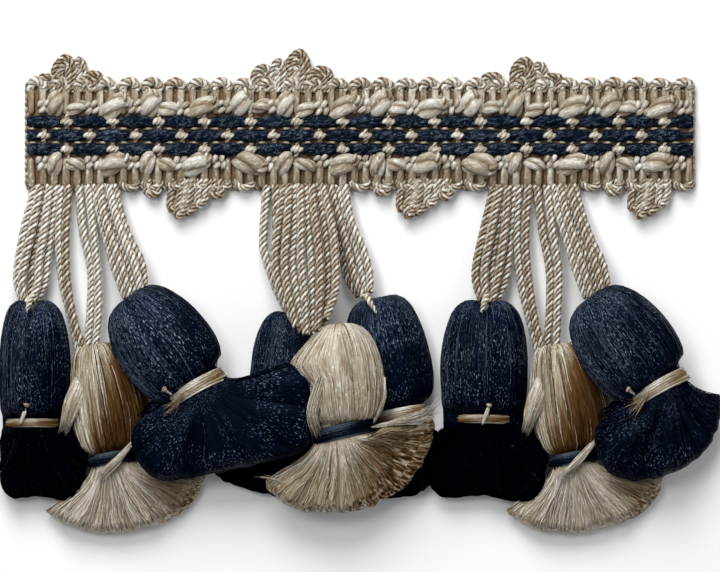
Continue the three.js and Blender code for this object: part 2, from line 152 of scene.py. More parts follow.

# along, around and speck are per millimetre; share and glint say how far they shift the tone, glint with
# painted highlights
finishes = {
    "beigeFloss": dict(
        umber=(0.022, 0.009, 0.003, 1), deep=(0.105, 0.053, 0.018, 1), middle=(0.33, 0.271, 0.187, 1),
        pale=(0.74, 0.738, 0.675, 1), along=0.45, around=4.2, speck=2.6, share=1.4, glint=0.3,
        rough=(0.22, 0.44), bump=0.6, specular=0.55),
    "beigeCord": dict(
        deep=(0.095, 0.046, 0.018, 1), middle=(0.27, 0.222, 0.155, 1), pale=(0.66, 0.66, 0.605, 1),
        along=0.9, around=3.0, speck=2.6, share=0.8, glint=0.25, rough=(0.3, 0.55), bump=0.5, specular=0.4),
    "beigeGround": dict(
        deep=(0.05, 0.026, 0.012, 1), middle=(0.16, 0.1, 0.058, 1), pale=(0.26, 0.19, 0.12, 1),
        along=1.2, around=2.0, speck=2.0, share=0.8, glint=0.0, rough=(0.6, 0.8), bump=0.5, specular=0.2),
    "navyFloss": dict(
        deep=(0.0003, 0.0005, 0.0014, 1), middle=(0.0012, 0.0032, 0.0115, 1), pale=(0.135, 0.168, 0.23, 1),
        along=0.8, around=4.0, speck=4.2, share=0.9, glint=0.65, rough=(0.22, 0.42), bump=0.9, specular=0.09,
        tint=(0.3, 0.52, 1.0, 1)),
    "navyYarn": dict(
        deep=(0.0003, 0.0006, 0.0016, 1), middle=(0.0026, 0.0048, 0.0105, 1), pale=(0.075, 0.095, 0.12, 1),
        along=1.4, around=4.0, speck=4.6, share=0.6, glint=0.5, rough=(0.4, 0.65), bump=0.6, specular=0.08,
        tint=(0.4, 0.6, 1.0, 1)),
}
fibreDepth = 0.12 * mm    # of the bump
white = (1, 1, 1, 1)


def yarnMaterial(name):
    look = finishes[name]
    material = bpy.data.materials.new(name)
    material.use_nodes = True
    tree = material.node_tree
    shader = tree.nodes["Principled BSDF"]
    scales = {"Along": look["along"], "Around": look["around"], "Speck Scale": look["speck"]}
    fibres = nodeIn(tree, "ShaderNodeGroup", (-900, 0), scales, node_tree=fibreStreaks).outputs
    sources = {"Umber": look.get("umber", look["deep"]), "Deep": look["deep"], "Middle": look["middle"],
               "Pale": look["pale"], "Streak": fibres["Streak"], "Streak Share": look["share"],
               "Speck": fibres["Speck"], "Patch": fibres["Patch"], "Glint": look["glint"]}
    colour = nodeIn(tree, "ShaderNodeGroup", (-600, 200), sources, node_tree=yarnColour).outputs["Colour"]
    tone = nodeIn(tree, "ShaderNodeAttribute", (-900, 400), attribute_name="tone").outputs["Fac"]
    gloss = rangeIn(tree, (-600, 450), tone, (0.0, 0.5), (0.0, look["specular"]))
    rough = rangeIn(tree, (-600, -50), fibres["Speck"], (0.0, 1.0), look["rough"])
    relief = mathIn(tree, (-600, -320), "ADD", fibres["Streak"], fibres["Speck"])
    bump = nodeIn(tree, "ShaderNodeBump", (-350, -300),
                  {"Height": relief, "Strength": look["bump"], "Distance": fibreDepth}).outputs[0]
    shader.inputs["Specular Tint"].default_value = look.get("tint", white)
    shader.inputs["Specular IOR Level"].default_value = look["specular"]
    feed(tree, shader, {"Base Color": colour, "Roughness": rough, "Normal": bump})
    feed(tree, shader, {"Specular IOR Level": gloss})
    return material


beigeFloss, beigeCord, beigeGround, navyFloss, navyYarn = (yarnMaterial(name) for name in finishes)
flossOf = {"navy": navyFloss, "beige": beigeFloss}
tieOf = {"navy": beigeFloss, "beige": navyYarn}
slotOf = {"navy": "navy_yarn", "beige": "beige_yarn"}
tieSlotOf = {"navy": "beige_yarn", "beige": "navy_yarn"}
print("yarn materials:", len(finishes))


# strands, cords and soft bundles

def unit(v):
    return v / np.maximum(np.linalg.norm(v, axis=-1, keepdims=True), 1e-9)


def mix(a, b, t):
    return a + (b - a) * t


def smooth(t, low=0.0, high=1.0):
    t = np.clip((t - low) / (high - low), 0, 1)
    return t * t * (3 - 2 * t)


def readAlong(rows, s):
    # rows of values at even places from 0 to 1, read at each s
    at = s * (len(rows) - 1)
    low = np.minimum(at.astype(int), len(rows) - 2)
    return mix(rows[low], rows[low + 1], (at - low)[:, None])


def smoothRandom(count, size, spread):
    # random values at `size` places round a ring, read smoothly at `count` places
    base = rng.normal(0, spread, size)
    at = np.linspace(0, size, count, endpoint=False)
    low = np.floor(at).astype(int)
    return mix(base[low % size], base[(low + 1) % size], smooth(at - low))


def curveThrough(points, count):
    # a smooth line through the points, read at `count` even places, and its length
    pts = np.asarray(points, float)
    ends = np.vstack([2 * pts[0] - pts[1], pts, 2 * pts[-1] - pts[-2]])
    t = np.linspace(0, 1, 24, endpoint=False)[:, None]
    fine = []
    for i in range(len(pts) - 1):
        a, b, c, d = ends[i:i + 4]
        bend = (2 * a - 5 * b + 4 * c - d) * t**2 + (3 * b - a - 3 * c + d) * t**3
        fine.append(0.5 * (2 * b + (c - a) * t + bend))
    fine = np.vstack([*fine, pts[-1:]])
    gone = np.concatenate([[0], np.cumsum(np.linalg.norm(np.diff(fine, axis=0), axis=1))])
    at = np.linspace(0, gone[-1], count)
    return np.stack([np.interp(at, gone, fine[:, k]) for k in range(pts.shape[1])], axis=1), gone[-1]


# how far apart strands start on the yarn's map, so that no two have the same streaks
mapSpread = 90


def ringFaces(index, u, v):
    # faces between the rings of each tube, and their places on the yarn's map: u along the tube, v round it
    a, b = index[:, :-1], index[:, 1:]
    quads = np.stack([a, b, np.roll(b, -1, 2), np.roll(a, -1, 2)], axis=-1).reshape(-1, 4)
    ua, ub = (np.broadcast_to(row[..., None], a.shape) for row in (u[:, :-1], u[:, 1:]))
    va, vb = (np.broadcast_to(row[:, None], a.shape) for row in (v[:, :-1], v[:, 1:]))
    return quads, np.stack([ua, va, ub, va, ub, vb, ua, vb], axis=-1).reshape(-1, 4, 2)


def sweep(paths, across, up, sides, ref=zUp, tone=0.5, ridge=1.0):
    # tubes along many paths at once: paths are (count, rings, 3), and faces point outwards
    count, rings = paths.shape[:2]
    along = unit(np.gradient(paths, axis=1))
    sideways = unit(np.cross(along, np.broadcast_to(ref, paths.shape)))
    upward = np.cross(sideways, along)
    across = np.broadcast_to(across, (count, rings))
    up = np.broadcast_to(up, (count, rings))
    turn = np.linspace(0, 2 * math.pi, sides, endpoint=False)
    ridge = np.broadcast_to(ridge, (count, rings, sides))
    offAcross = (np.cos(turn) * ridge * across[..., None])[..., None] * sideways[:, :, None]
    offUp = (np.sin(turn) * ridge * up[..., None])[..., None] * upward[:, :, None]
    points = paths[:, :, None] + offAcross + offUp
    index = np.arange(count * rings * sides).reshape(count, rings, sides)
    steps = np.linalg.norm(np.diff(paths, axis=1), axis=2)
    gone = np.concatenate([np.zeros((count, 1)), np.cumsum(steps, axis=1)], axis=1)
    u = gone + rng.uniform(0, mapSpread, (count, 1))
    girth = math.pi * float(np.mean(across) + np.mean(up))
    v = np.linspace(0, girth, sides + 1) + rng.uniform(0, mapSpread, (count, 1))
    caps = np.concatenate([index[:, 0], index[:, -1, ::-1]])
    capU = np.concatenate([u[:, :1], u[:, -1:]])
    capUv = np.stack(np.broadcast_arrays(capU, np.concatenate([v[:, :-1], v[:, :-1]])), axis=-1)
    tone = np.asarray(tone, float)
    tone = tone.reshape(tone.shape + (1,) * (3 - tone.ndim)) if tone.ndim else tone
    tones = np.broadcast_to(tone, (count, rings, sides)).ravel()
    return dict(points=points.reshape(-1, 3), tones=tones, faces=[ringFaces(index, u, v), (caps, capUv)])


def makePiece(name, parts, material, slotName, *nodes):
    # one mesh from many parts, with their tones and the yarn's own map
    loops, starts, uvs = [], [], []
    cursor = offset = triangles = 0
    for part in parts:
        for faces, uv in part["faces"]:
            number, corners = faces.shape
            loops.append((faces + offset).ravel())
            starts.append(cursor + np.arange(number) * corners)
            uvs.append(uv.reshape(-1, 2))
            cursor += number * corners
            triangles += number * (corners - 2)
        offset += len(part["points"])
    points = np.concatenate([part["points"] for part in parts]) * mm
    loops, starts, uvs = np.concatenate(loops), np.concatenate(starts), np.concatenate(uvs)
    mesh = bpy.data.meshes.new(name)
    mesh.vertices.add(len(points))
    mesh.vertices.foreach_set("co", points.astype(np.float32).ravel())
    mesh.loops.add(len(loops))
    mesh.loops.foreach_set("vertex_index", loops.astype(np.int32))
    mesh.polygons.add(len(starts))
    mesh.polygons.foreach_set("loop_start", starts.astype(np.int32))
    mesh.polygons.foreach_set("use_smooth", np.ones(len(starts), dtype=bool))
    mesh.update(calc_edges=True)
    mesh.uv_layers.new(name="yarn").uv.foreach_set("vector", uvs.astype(np.float32).ravel())
    tones = np.concatenate([part["tones"] for part in parts])
    mesh.attributes.new("tone", "FLOAT", "POINT").data.foreach_set("value", tones.astype(np.float32))
    mesh.materials.append(material)
    piece = bpy.data.objects.new(name, mesh)
    bpy.context.collection.objects.link(piece)
    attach(piece, "root")
    if nodes:
        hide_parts(*nodes)
    print(name, triangles, "triangles")
    return piece


# how far out the plies of a cord lie and how thick each is, as shares of the cord's radius
plyShares = {2: (0.5, 0.54), 3: (0.42, 0.62), 4: (0.6, 0.43)}


def twistedCord(points, radius, pitch, plies=2, sides=6, perTurn=9, tone=0.5, marl=0.12, grooveShade=0.4,
                taper=(1, 1), flat=1.0):
    # plies wound round a smooth line, leaning like the middle stroke of a Z, every other one browner, with
    # painted shade where each ply turns in towards the others
    _, length = curveThrough(points, 8)
    rings = int(length / pitch * perTurn) + 6
    path, _ = curveThrough(points, rings)
    along = unit(np.gradient(path, axis=0))
    sideways = unit(np.cross(along, zUp))
    upward = np.cross(sideways, along) * flat
    gone = np.linspace(0, length, rings)
    thin = radius * np.interp(gone / length, np.linspace(0, 1, len(taper)), taper)
    layShare, plyShare = plyShares[plies]
    turn = rng.uniform(0, 2 * math.pi) - 2 * math.pi * (gone / pitch - np.arange(plies)[:, None] / plies)
    offset = np.cos(turn)[..., None] * sideways + np.sin(turn)[..., None] * upward
    half = plyShare * thin[None]
    around = np.linspace(0, 2 * math.pi, sides, endpoint=False)
    outward = np.cos(around - turn[..., None])
    plyTone = (marl * (-1.0) ** np.arange(plies))[:, None, None] + rng.normal(0, 0.03, (plies, 1, 1))
    # painted shade on the inner side of each ply, lighter on its outer side
    tones = tone + plyTone + grooveShade * (smooth(outward, -0.1, 0.7) - 0.75)
    return sweep(path + layShare * thin[:, None] * offset, half, half * flat, sides, tone=tones)


def roving(points, across, up, rings, around, ridges=3, depth=0.08, tone=0.5, blunt=0.5, sideShade=0.4):
    # one soft bundle of fibres: a ridged tube that swells in the middle, browner down its sides and ends with
    # painted shade
    path, _ = curveThrough(points, rings)
    s = np.linspace(0, 1, rings)
    swell = np.maximum(np.sin(math.pi * s), 0.0) ** blunt * 0.94 + 0.06
    turn = np.linspace(0, 2 * math.pi, around, endpoint=False)
    wander = readAlong(rng.normal(0, 1, (3, around)), s)
    crest = np.cos(ridges * turn + 6 * s[:, None])
    ridge = 1 + depth * crest + depth * 0.5 * wander
    # painted shade down the sides and ends, and in the furrows between the ridges
    shaded = np.minimum(smooth(np.sin(turn), -0.1, 0.8), smooth(swell, 0.1, 0.8)[:, None])
    tones = tone + depth * (wander + crest) + sideShade * (shaded - 0.8)
    halves = (across * swell)[None], (up * swell)[None]
    return sweep(path[None], *halves, around, tone=tones[None], ridge=ridge[None])


# camera, light and floor

view = dict(middle=(0.0, -30.0), away=1000.0, lens=250.0, sensor=36.0, near=0.05, far=20.0)
eye = (view["middle"][0] * mm, view["middle"][1] * mm, view["away"] * mm)
bpy.ops.object.camera_add(location=eye, rotation=(0, 0, 0))
camera = bpy.context.object
camera.data.lens = view["lens"]
camera.data.sensor_width = view["sensor"]
camera.data.clip_start = view["near"]
camera.data.clip_end = view["far"]
bpy.context.scene.camera = camera

# places and sizes of the lights are in metres
lights = [
    dict(name="window", at=(-0.12, 0.49, 0.47), size=0.42, watts=5.9),
    dict(name="overhead", at=(-0.22, 0.12, 0.62), size=0.2, watts=1.3),
    dict(name="rightFill", at=(0.55, 0.10, 0.40), size=0.5, watts=0.7),
]
for lamp in lights:
    aim = Vector((0, view["middle"][1] * mm, 0)) - Vector(lamp["at"])
    turned = aim.to_track_quat("-Z", "Y").to_euler()
    bpy.ops.object.light_add(type="AREA", location=lamp["at"], rotation=turned)
    light = bpy.context.object
    light.name = lamp["name"]
    light.data.size = lamp["size"]
    light.data.energy = lamp["watts"]
world = bpy.data.worlds.new("studio")
world.use_nodes = True
sky = world.node_tree.nodes["Background"]
sky.inputs["Color"].default_value = (0.95, 0.97, 1.0, 1)
sky.inputs["Strength"].default_value = 0.34
bpy.context.scene.world = world
bpy.context.scene.view_settings.view_transform = "Standard"

bpy.ops.mesh.primitive_plane_add(size=4.0, location=(0, 0, 0))
floor = bpy.context.object
floor.name = "table"
paper = bpy.data.materials.new("paleTable")
paper.use_nodes = True
paperShader = paper.node_tree.nodes["Principled BSDF"]
paperShader.inputs["Base Color"].default_value = (0.8, 0.8, 0.8, 1)
paperShader.inputs["Roughness"].default_value = 0.7
floor.data.materials.append(paper)
print("camera, lights and table")


# heading

heading = dict(
    length=132.8, half=10.3, pitch=9.17, first=-12.6, repeat=45.85,
    rows=(2.75, 0.0, -2.75), rowShifts=(0.0, 0.5, 0.0), lines=(4.125, 1.375, -1.375, -4.125),
    slabTop=1.45, slabThick=1.1, edgeBand=1.4, edgeDrop=0.35,
)
halfLength = heading["length"] / 2


def placesAlong(first, pitch, margin):
    low = math.ceil((-halfLength + margin - first) / pitch)
    high = math.floor((halfLength - margin - first) / pitch)
    return [first + k * pitch for k in range(low, high + 1)]


# the brown ground cloth, thinned along both edges
bpy.ops.mesh.primitive_grid_add(x_subdivisions=66, y_subdivisions=20, size=1, location=(0, 0, 0))
ground = bpy.context.object
ground.name = "heading_ground"
bpy.ops.object.mode_set(mode="EDIT")
bpy.ops.transform.resize(value=(heading["length"] * mm, 2 * heading["half"] * mm, 1))
bpy.ops.transform.translate(value=(0, 0, heading["slabTop"] * mm))
bpy.ops.mesh.select_all(action="DESELECT")
bpy.ops.object.mode_set(mode="OBJECT")
for vertex in ground.data.vertices:
    vertex.select = abs(vertex.co.y) > (heading["half"] - heading["edgeBand"]) * mm
bpy.ops.object.mode_set(mode="EDIT")
bpy.ops.transform.translate(value=(0, 0, -heading["edgeDrop"] * mm))
bpy.ops.object.mode_set(mode="OBJECT")
thickness = ground.modifiers.new("cloth", "SOLIDIFY")
thickness.thickness = heading["slabThick"] * mm
thickness.offset = -1
bpy.ops.object.modifier_apply(modifier="cloth")
bpy.ops.object.shade_smooth_by_angle(angle=0.6)
groundMap = ground.data.uv_layers[0]
groundMap.name = "yarn"
spots = np.zeros(len(ground.data.loops) * 2, np.float32)
groundMap.uv.foreach_get("vector", spots)
spots = spots.reshape(-1, 2) * (heading["length"], 2 * heading["half"])
groundMap.uv.foreach_set("vector", spots.astype(np.float32).ravel())
groundTone = ground.data.attributes.new("tone", "FLOAT", "POINT")
groundTone.data.foreach_set("value", np.full(len(ground.data.vertices), 0.45, np.float32))
ground.data.materials.append(beigeGround)
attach(ground, "root")
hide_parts("heading")

# hanger bundles: left and right outline of each from root to end, heights along them, and how far the
# middle cords reach past the outer ones; the side groups are the same bundles, one repeat apart
groupShift = -2 * heading["repeat"]
middleBundles = [
    dict(count=2, over=1.4, hump=0.0, bow=0.0, z=(1.7, 3.0, 3.6, 4.4, 5.0),
         left=((-19.6, -9.9), (-20.2, -20.8), (-19.4, -24.6), (-17.4, -31.4), (-15.0, -35.6)),
         right=((-15.6, -9.9), (-15.8, -20.8), (-15.0, -25.4), (-13.4, -31.6), (-11.6, -36.4))),
    dict(count=4, over=1.4, hump=0.0, bow=0.6, z=(1.7, 2.8, 3.4, 3.8, 4.4),
         left=((-7.8, -9.9), (-5.6, -17.8), (-4.4, -23.8), (-3.2, -28.6), (-0.9, -32.0)),
         right=((-2.4, -9.9), (-0.8, -17.2), (1.4, -22.2), (2.9, -27.4), (2.8, -31.2))),
    dict(count=8, over=1.8, hump=1.3, bow=2.8, z=(2.2, 6.0, 8.6, 10.8, 12.6),
         left=((-16.0, -9.9), (-17.0, -17.8), (-17.6, -25.2), (-16.8, -31.2), (-14.2, -37.0)),
         right=((-6.8, -9.9), (-5.0, -17.2), (-3.8, -24.2), (-3.8, -31.0), (-5.8, -36.6))),
]
sideBundles = [
    dict(count=5, over=1.4, hump=0.0, bow=0.6, z=(1.7, 3.0, 3.6, 4.2, 5.0),
         left=((26.0, -9.9), (24.0, -18.4), (22.6, -25.2), (22.4, -29.2), (23.6, -33.0)),
         right=((31.6, -9.9), (30.9, -18.8), (30.4, -25.2), (29.7, -29.4), (28.0, -33.0))),
    dict(count=2, over=1.4, hump=0.0, bow=0.0, z=(1.7, 2.6, 2.8, 3.4, 4.2),
         left=((30.8, -9.9), (30.5, -19.8), (31.3, -28.8), (33.3, -37.4), (34.8, -43.0)),
         right=((34.6, -9.9), (33.9, -20.8), (34.5, -29.8), (35.9, -37.0), (37.6, -43.0))),
    dict(count=2, over=1.4, hump=0.0, bow=0.0, z=(1.7, 2.6, 2.8, 3.4, 4.2),
         left=((34.6, -9.9), (35.6, -18.8), (37.0, -26.8), (37.0, -34.8), (36.4, -42.6)),
         right=((38.4, -9.9), (39.4, -18.8), (40.4, -26.8), (40.4, -34.8), (39.8, -42.6))),
    dict(count=5, over=1.4, hump=0.0, bow=0.4, z=(1.9, 4.2, 5.4, 6.4, 7.2),
         left=((38.0, -9.9), (38.9, -16.0), (40.6, -22.0), (42.2, -26.6), (44.2, -32.4)),
         right=((43.4, -9.9), (45.4, -16.5), (47.4, -21.4), (49.0, -25.4), (50.2, -30.6))),
]
hangers = {
    "hangers_left": (groupShift, sideBundles),
    "hangers_middle": (0.0, middleBundles),
    "hangers_right": (0.0, sideBundles),
}


def underHangers(x):
    for shift, bundles in hangers.values():
        roots = [bundle[edge][0][0] + shift for bundle in bundles for edge in ("left", "right")]
        if min(roots) - 0.5 < x < max(roots) + 0.5:
            return True
    return False


# upright ribs, the picots that join them in pairs, a run along each edge and a bound cord at each cut end
rope = dict(plies=4, sides=5)
rib = dict(pitch=2.2925, across=0.8, up=0.7, foot=3.9, edge=10.3, underHangers=0.6, margin=0.75, lean=0.12,
           heights=(1.7, 1.95, 1.55), rings=9, around=12, tone=0.31)
picot = dict(foot=9.2, shoulder=10.0, peak=10.85, spread=0.3, heights=(1.5, 1.6, 1.9), twist=4.0,
             radius=1.05, tone=0.54, lowRadius=0.8, lowTone=0.52, lowDrop=0.35)
picotYarn = dict(**rope, grooveShade=0.8, marl=0.14)
edgeRun = dict(ys=(-10.35, 9.0), z=1.0, wave=0.18, waveRate=1.37, points=90, radius=0.6, twist=2.2)
endCord = dict(inset=0.2, reach=10.0, z=0.95, radius=0.8, twist=2.6)
ribs = []
ribCount = 2 * round(heading["length"] / rib["pitch"] / 2)
ribXs = np.linspace(rib["margin"] - halfLength, halfLength - rib["margin"], ribCount)
for x in ribXs:
    for way in (1, -1):
        lean = rng.uniform(-rib["lean"], rib["lean"])
        foot, edge = way * rib["foot"], way * rib["edge"]
        if way < 0 and underHangers(x):
            edge -= rib["underHangers"]
        line = list(zip((x + lean, x, x - lean), (foot, (foot + edge) / 2, edge), rib["heights"]))
        ribs.append(roving(line, rib["across"], rib["up"], rib["rings"], rib["around"], depth=0.09, blunt=0.2,
                           sideShade=0.6, tone=rib["tone"] + rng.uniform(-0.1, 0.16)))
for a, b in zip(ribXs[::2], ribXs[1::2]):
    peak = picot["peak"] + rng.uniform(-0.15, 0.15)
    middle = (a + b) / 2 + rng.uniform(-0.2, 0.2)
    footZ, shoulderZ, peakZ = picot["heights"]
    arch = [(a, picot["foot"], footZ), (a - picot["spread"], picot["shoulder"], shoulderZ),
            (middle, peak, peakZ),
            (b + picot["spread"], picot["shoulder"], shoulderZ), (b, picot["foot"], footZ)]
    tone = picot["tone"] + rng.uniform(-0.12, 0.12)
    ribs.append(twistedCord(arch, picot["radius"], picot["twist"], **picotYarn, perTurn=9, tone=tone))
    if not underHangers((a + b) / 2):
        low = [(p[0], picot["lowDrop"] - p[1], p[2]) for p in arch]
        tone = picot["lowTone"] + rng.uniform(-0.1, 0.1)
        ribs.append(twistedCord(low, picot["lowRadius"], picot["twist"], **picotYarn, perTurn=8, tone=tone))
for y in edgeRun["ys"]:
    run = [(x, y + edgeRun["wave"] * math.sin(x * edgeRun["waveRate"]), edgeRun["z"])
           for x in np.linspace(-halfLength, halfLength, edgeRun["points"])]
    ribs.append(twistedCord(run, edgeRun["radius"], edgeRun["twist"], tone=0.42, perTurn=6, sides=4))
for x in (-halfLength + endCord["inset"], halfLength - endCord["inset"]):
    line = [(x, y, endCord["z"]) for y in (-endCord["reach"], 0.0, endCord["reach"])]
    ribs.append(twistedCord(line, endCord["radius"], endCord["twist"], tone=0.45))
ribPiece = makePiece("heading_ribs", ribs, beigeCord, "beige_yarn")

# soft slub lumps per repeat: x and y of the middle, length, width, lean in degrees; the short ones are nubs,
# each a few strokes
upperSlubs = [
    (-10.8, 6.4, 5.6, 3.9, 65), (-6.9, 5.5, 4.4, 2.6, 20), (-2.0, 6.2, 5.6, 3.4, 75),
    (1.9, 5.2, 4.8, 2.6, 25), (9.6, 5.3, 7.8, 3.7, 33), (16.9, 6.3, 5.8, 3.9, 62),
    (20.3, 5.2, 4.6, 2.7, 15), (27.0, 5.1, 7.6, 3.7, 30), (-4.4, 5.6, 2.8, 1.7, 75),
    (4.9, 5.3, 2.6, 1.7, 50), (13.5, 5.6, 3.2, 1.8, 80), (23.1, 5.4, 2.8, 1.8, 60), (31.4, 5.6, 3.0, 1.8, 80),
]
lowerSlubs = [
    (-9.4, -6.0, 7.4, 4.4, -10), (-2.2, -5.4, 5.6, 3.2, 76), (1.6, -5.9, 4.8, 2.5, -8),
    (9.4, -6.0, 7.2, 3.9, 24), (16.4, -5.4, 5.8, 3.2, 76), (20.0, -5.9, 4.6, 2.7, -6),
    (26.0, -5.9, 6.8, 3.9, 26), (-4.8, -5.4, 2.8, 1.7, 70), (5.0, -5.2, 2.8, 1.8, 60),
    (13.2, -5.4, 3.0, 1.8, 80), (22.8, -5.5, 2.8, 1.8, 50), (30.4, -5.4, 3.0, 1.8, 75),
]
slubYarn = dict(plies=3, sides=10, marl=0.06, grooveShade=0.44, flat=0.76,
                taper=(0.35, 0.78, 0.97, 1, 0.97, 0.78, 0.35))
slub = dict(turns=0.45, perTurn=17, fat=1.04, tone=0.5, foot=1.4, lift=0.3, rise=0.8, bend=0.14, folded=3.5)
fold = dict(back=0.6, over=0.2, lift=0.5, thick=0.42, twist=3.2)
nub = dict(longest=3.5, spots=((-0.9, 0.75), (0.5, 0.85), (-0.5, -0.65), (0.9, -0.5)), stroke=1.0,
           lean=math.radians(58), half=0.6, rings=8, rise=1.25, tone=0.56)


def shortStroke(x, y, lean, look, foot, top, tone):
    # a short bundle of fibres that rises from the cloth and goes back into it
    dx, dy = math.cos(lean) * look["stroke"], math.sin(lean) * look["stroke"]
    line = [(x - dx, y - dy, foot), (x, y, top), (x + dx, y + dy, foot)]
    return roving(line, look["half"], look["half"], look["rings"], look["rings"], tone=tone, blunt=0.6)


slubs = []
for turn in (-2, -1, 0, 1):
    for along, y, long, wide, slant in upperSlubs + lowerSlubs:
        x = heading["first"] + turn * heading["repeat"] + along
        if abs(x) > halfLength - 0.4 * long:
            continue
        y = y + rng.uniform(-0.2, 0.2)
        lean = math.radians(slant + rng.uniform(-8, 8))
        reach = long / 2 * rng.uniform(0.94, 1.06)
        dx, dy = math.cos(lean) * reach, math.sin(lean) * reach
        radius = wide / 2 * rng.uniform(0.94, 1.06)
        foot, top = slub["foot"], slub["foot"] + slub["lift"] + slub["rise"] * min(radius, 1.2)
        tone = slub["tone"] + rng.uniform(-0.06, 0.08)
        if long < nub["longest"]:
            for sx, sy in nub["spots"]:
                swing = nub["lean"] + rng.uniform(-0.4, 0.4)
                tone = nub["tone"] + rng.uniform(-0.12, 0.12)
                slubs.append(shortStroke(x + sx, y + sy, swing, nub, foot, foot + nub["rise"], tone))
            continue
        bentX, bentY = x - dy * slub["bend"], y + dx * slub["bend"]
        line = [(x - dx, y - dy, foot), (bentX, bentY, top), (x + dx, y + dy, foot)]
        slubs.append(twistedCord(line, radius * slub["fat"], long / slub["turns"], tone=tone,
                                 perTurn=slub["perTurn"] / slub["turns"], **slubYarn))
        if wide > slub["folded"]:    # the yarn turns back over its own upper end
            back = lean + math.radians(rng.uniform(55, 80))
            fx, fy = math.cos(back) * radius, math.sin(back) * radius
            cx, cy = x + dx * fold["back"], y + dy * fold["back"]
            overTop = (cx + dx * fold["over"], cy + dy * fold["over"], top + fold["lift"])
            line = [(cx - fx, cy - fy, foot), overTop, (cx + fx, cy + fy, foot)]
            tone = tone + rng.uniform(-0.12, 0.1)
            slubs.append(twistedCord(line, radius * fold["thick"], fold["twist"], sides=7, tone=tone,
                                     taper=(0.6, 1, 0.6)))
slubPiece = makePiece("heading_slubs", slubs, beigeCord, "beige_yarn")

# loops of cord that stand out of both edges: middle of each cluster, then for each loop its x from there,
# reach from the edge, half width, lean and tone
topLoops = [
    (-58.4, [(-3.9, 2.4, 1.2, -0.3, 0.38), (-0.8, 6.3, 1.9, 0.5, 0.32), (2.2, 5.9, 1.1, 0.2, 0.52),
             (4.8, 3.0, 1.4, 0.5, 0.32)]),
    (-12.6, [(-7.2, 4.4, 1.5, 0.6, 0.42), (-3.9, 5.6, 1.1, 0.3, 0.52), (-0.3, 7.4, 2.1, 0.8, 0.32),
             (4.5, 4.0, 1.9, 0.4, 0.36)]),
    (33.2, [(-7.0, 2.7, 1.4, 0.3, 0.38), (-0.8, 5.8, 1.9, 0.4, 0.32), (2.5, 5.0, 1.1, 0.2, 0.52),
            (5.0, 2.5, 1.4, 0.4, 0.32)]),
]
lowFan = [(-1.5, 5.4, 1.0, -1.3, 0.34), (0.4, 6.8, 1.1, -1.9, 0.40), (2.2, 6.3, 0.9, -1.7, 0.34),
          (3.6, 4.6, 0.8, -0.9, 0.56)]
lowLoops = [
    (-34.8, [*lowFan, (-6.6, 2.3, 1.0, 0.0, 0.48), (5.8, 2.6, 1.2, 0.3, 0.36)]),
    (11.0, [*lowFan, (-6.6, 1.9, 1.1, 0.0, 0.45), (5.6, 3.0, 1.2, 0.3, 0.40)]),
    (57.2, [*lowFan, (-6.6, 1.9, 1.0, 0.0, 0.48)]),
]
loopCord = dict(radius=0.86, twist=4.2, grooveShade=0.95, z=1.7, step=0.3, root=1.6, waist=0.45,
                nest=1.0, nestReach=1.4, narrowest=0.05, shortest=1.2)


def loopArch(x, edge, way, reach, spread, lean, z):
    foot, waist = edge - way * loopCord["root"], edge + way * reach * loopCord["waist"]
    return [(x - spread * 0.8, foot, z - 0.3), (x - spread + lean * 0.4, waist, z),
            (x + lean, edge + way * (reach - 1.0), z + 0.3), (x + spread + lean * 0.5, waist, z),
            (x + spread * 0.8, foot, z - 0.3)]


loops = []
for way, clusters in ((1, topLoops), (-1, lowLoops)):
    for middle, members in clusters:
        for k, (dx, reach, spread, lean, tone) in enumerate(members):
            z = loopCord["z"] + loopCord["step"] * (k % 2)
            # smaller loops lie inside the outer one
            while spread > loopCord["narrowest"] and reach > loopCord["shortest"]:
                arch = loopArch(middle + dx, way * heading["half"], way, reach, spread, lean, z)
                loops.append(twistedCord(arch, loopCord["radius"], loopCord["twist"], **rope, perTurn=9,
                                         tone=tone, grooveShade=loopCord["grooveShade"]))
                spread, reach, lean = spread - loopCord["nest"], reach - loopCord["nestReach"], lean * 0.8
                tone = tone + rng.uniform(-0.06, 0.1)
loopPiece = makePiece("heading_loops", loops, beigeCord, "beige_yarn")

# navy yarns: floats that dip under the beads
navyFloat = dict(rings=210, around=22, low=2.05, rise=0.55, thin=(0.55, 0.42), full=(1.29, 0.82), dip=0.08,
                 plies=7, twist=1.1, plyDepth=0.06, fuzz=0.04, sway=0.02, tone=0.46, toneSpread=0.18)
for name, y, offset in zip(("upper", "middle", "lower"), heading["rows"], heading["rowShifts"]):
    rings, around = navyFloat["rings"], navyFloat["around"]
    x = np.linspace(-halfLength, halfLength, rings)
    beat = (x - heading["first"]) / heading["pitch"] - offset
    phase = np.abs(beat - np.round(beat)) * 2
    lift = np.sin(np.clip((phase - navyFloat["dip"]) / (1 - navyFloat["dip"]), 0, 1) * math.pi / 2) ** 0.8
    sway = rng.normal(0, navyFloat["sway"], rings)
    path = np.stack([x, y + sway, navyFloat["low"] + navyFloat["rise"] * lift], axis=1)
    turn = np.linspace(0, 2 * math.pi, around, endpoint=False)
    plyRidge = navyFloat["plyDepth"] * np.cos(navyFloat["plies"] * turn + navyFloat["twist"] * x[:, None])
    ridge = 1 + plyRidge + navyFloat["fuzz"] * rng.normal(0, 1, (rings, around))
    tones = navyFloat["tone"] + navyFloat["toneSpread"] * rng.normal(0, 1, (rings, around))
    halves = [mix(navyFloat["thin"][k], navyFloat["full"][k], lift)[None] for k in (0, 1)]
    body = sweep(path[None], *halves, around, tone=tones[None], ridge=ridge[None])
    makePiece("navy_float_" + name, [body], navyYarn, "navy_yarn", "navy_yarn_" + name)

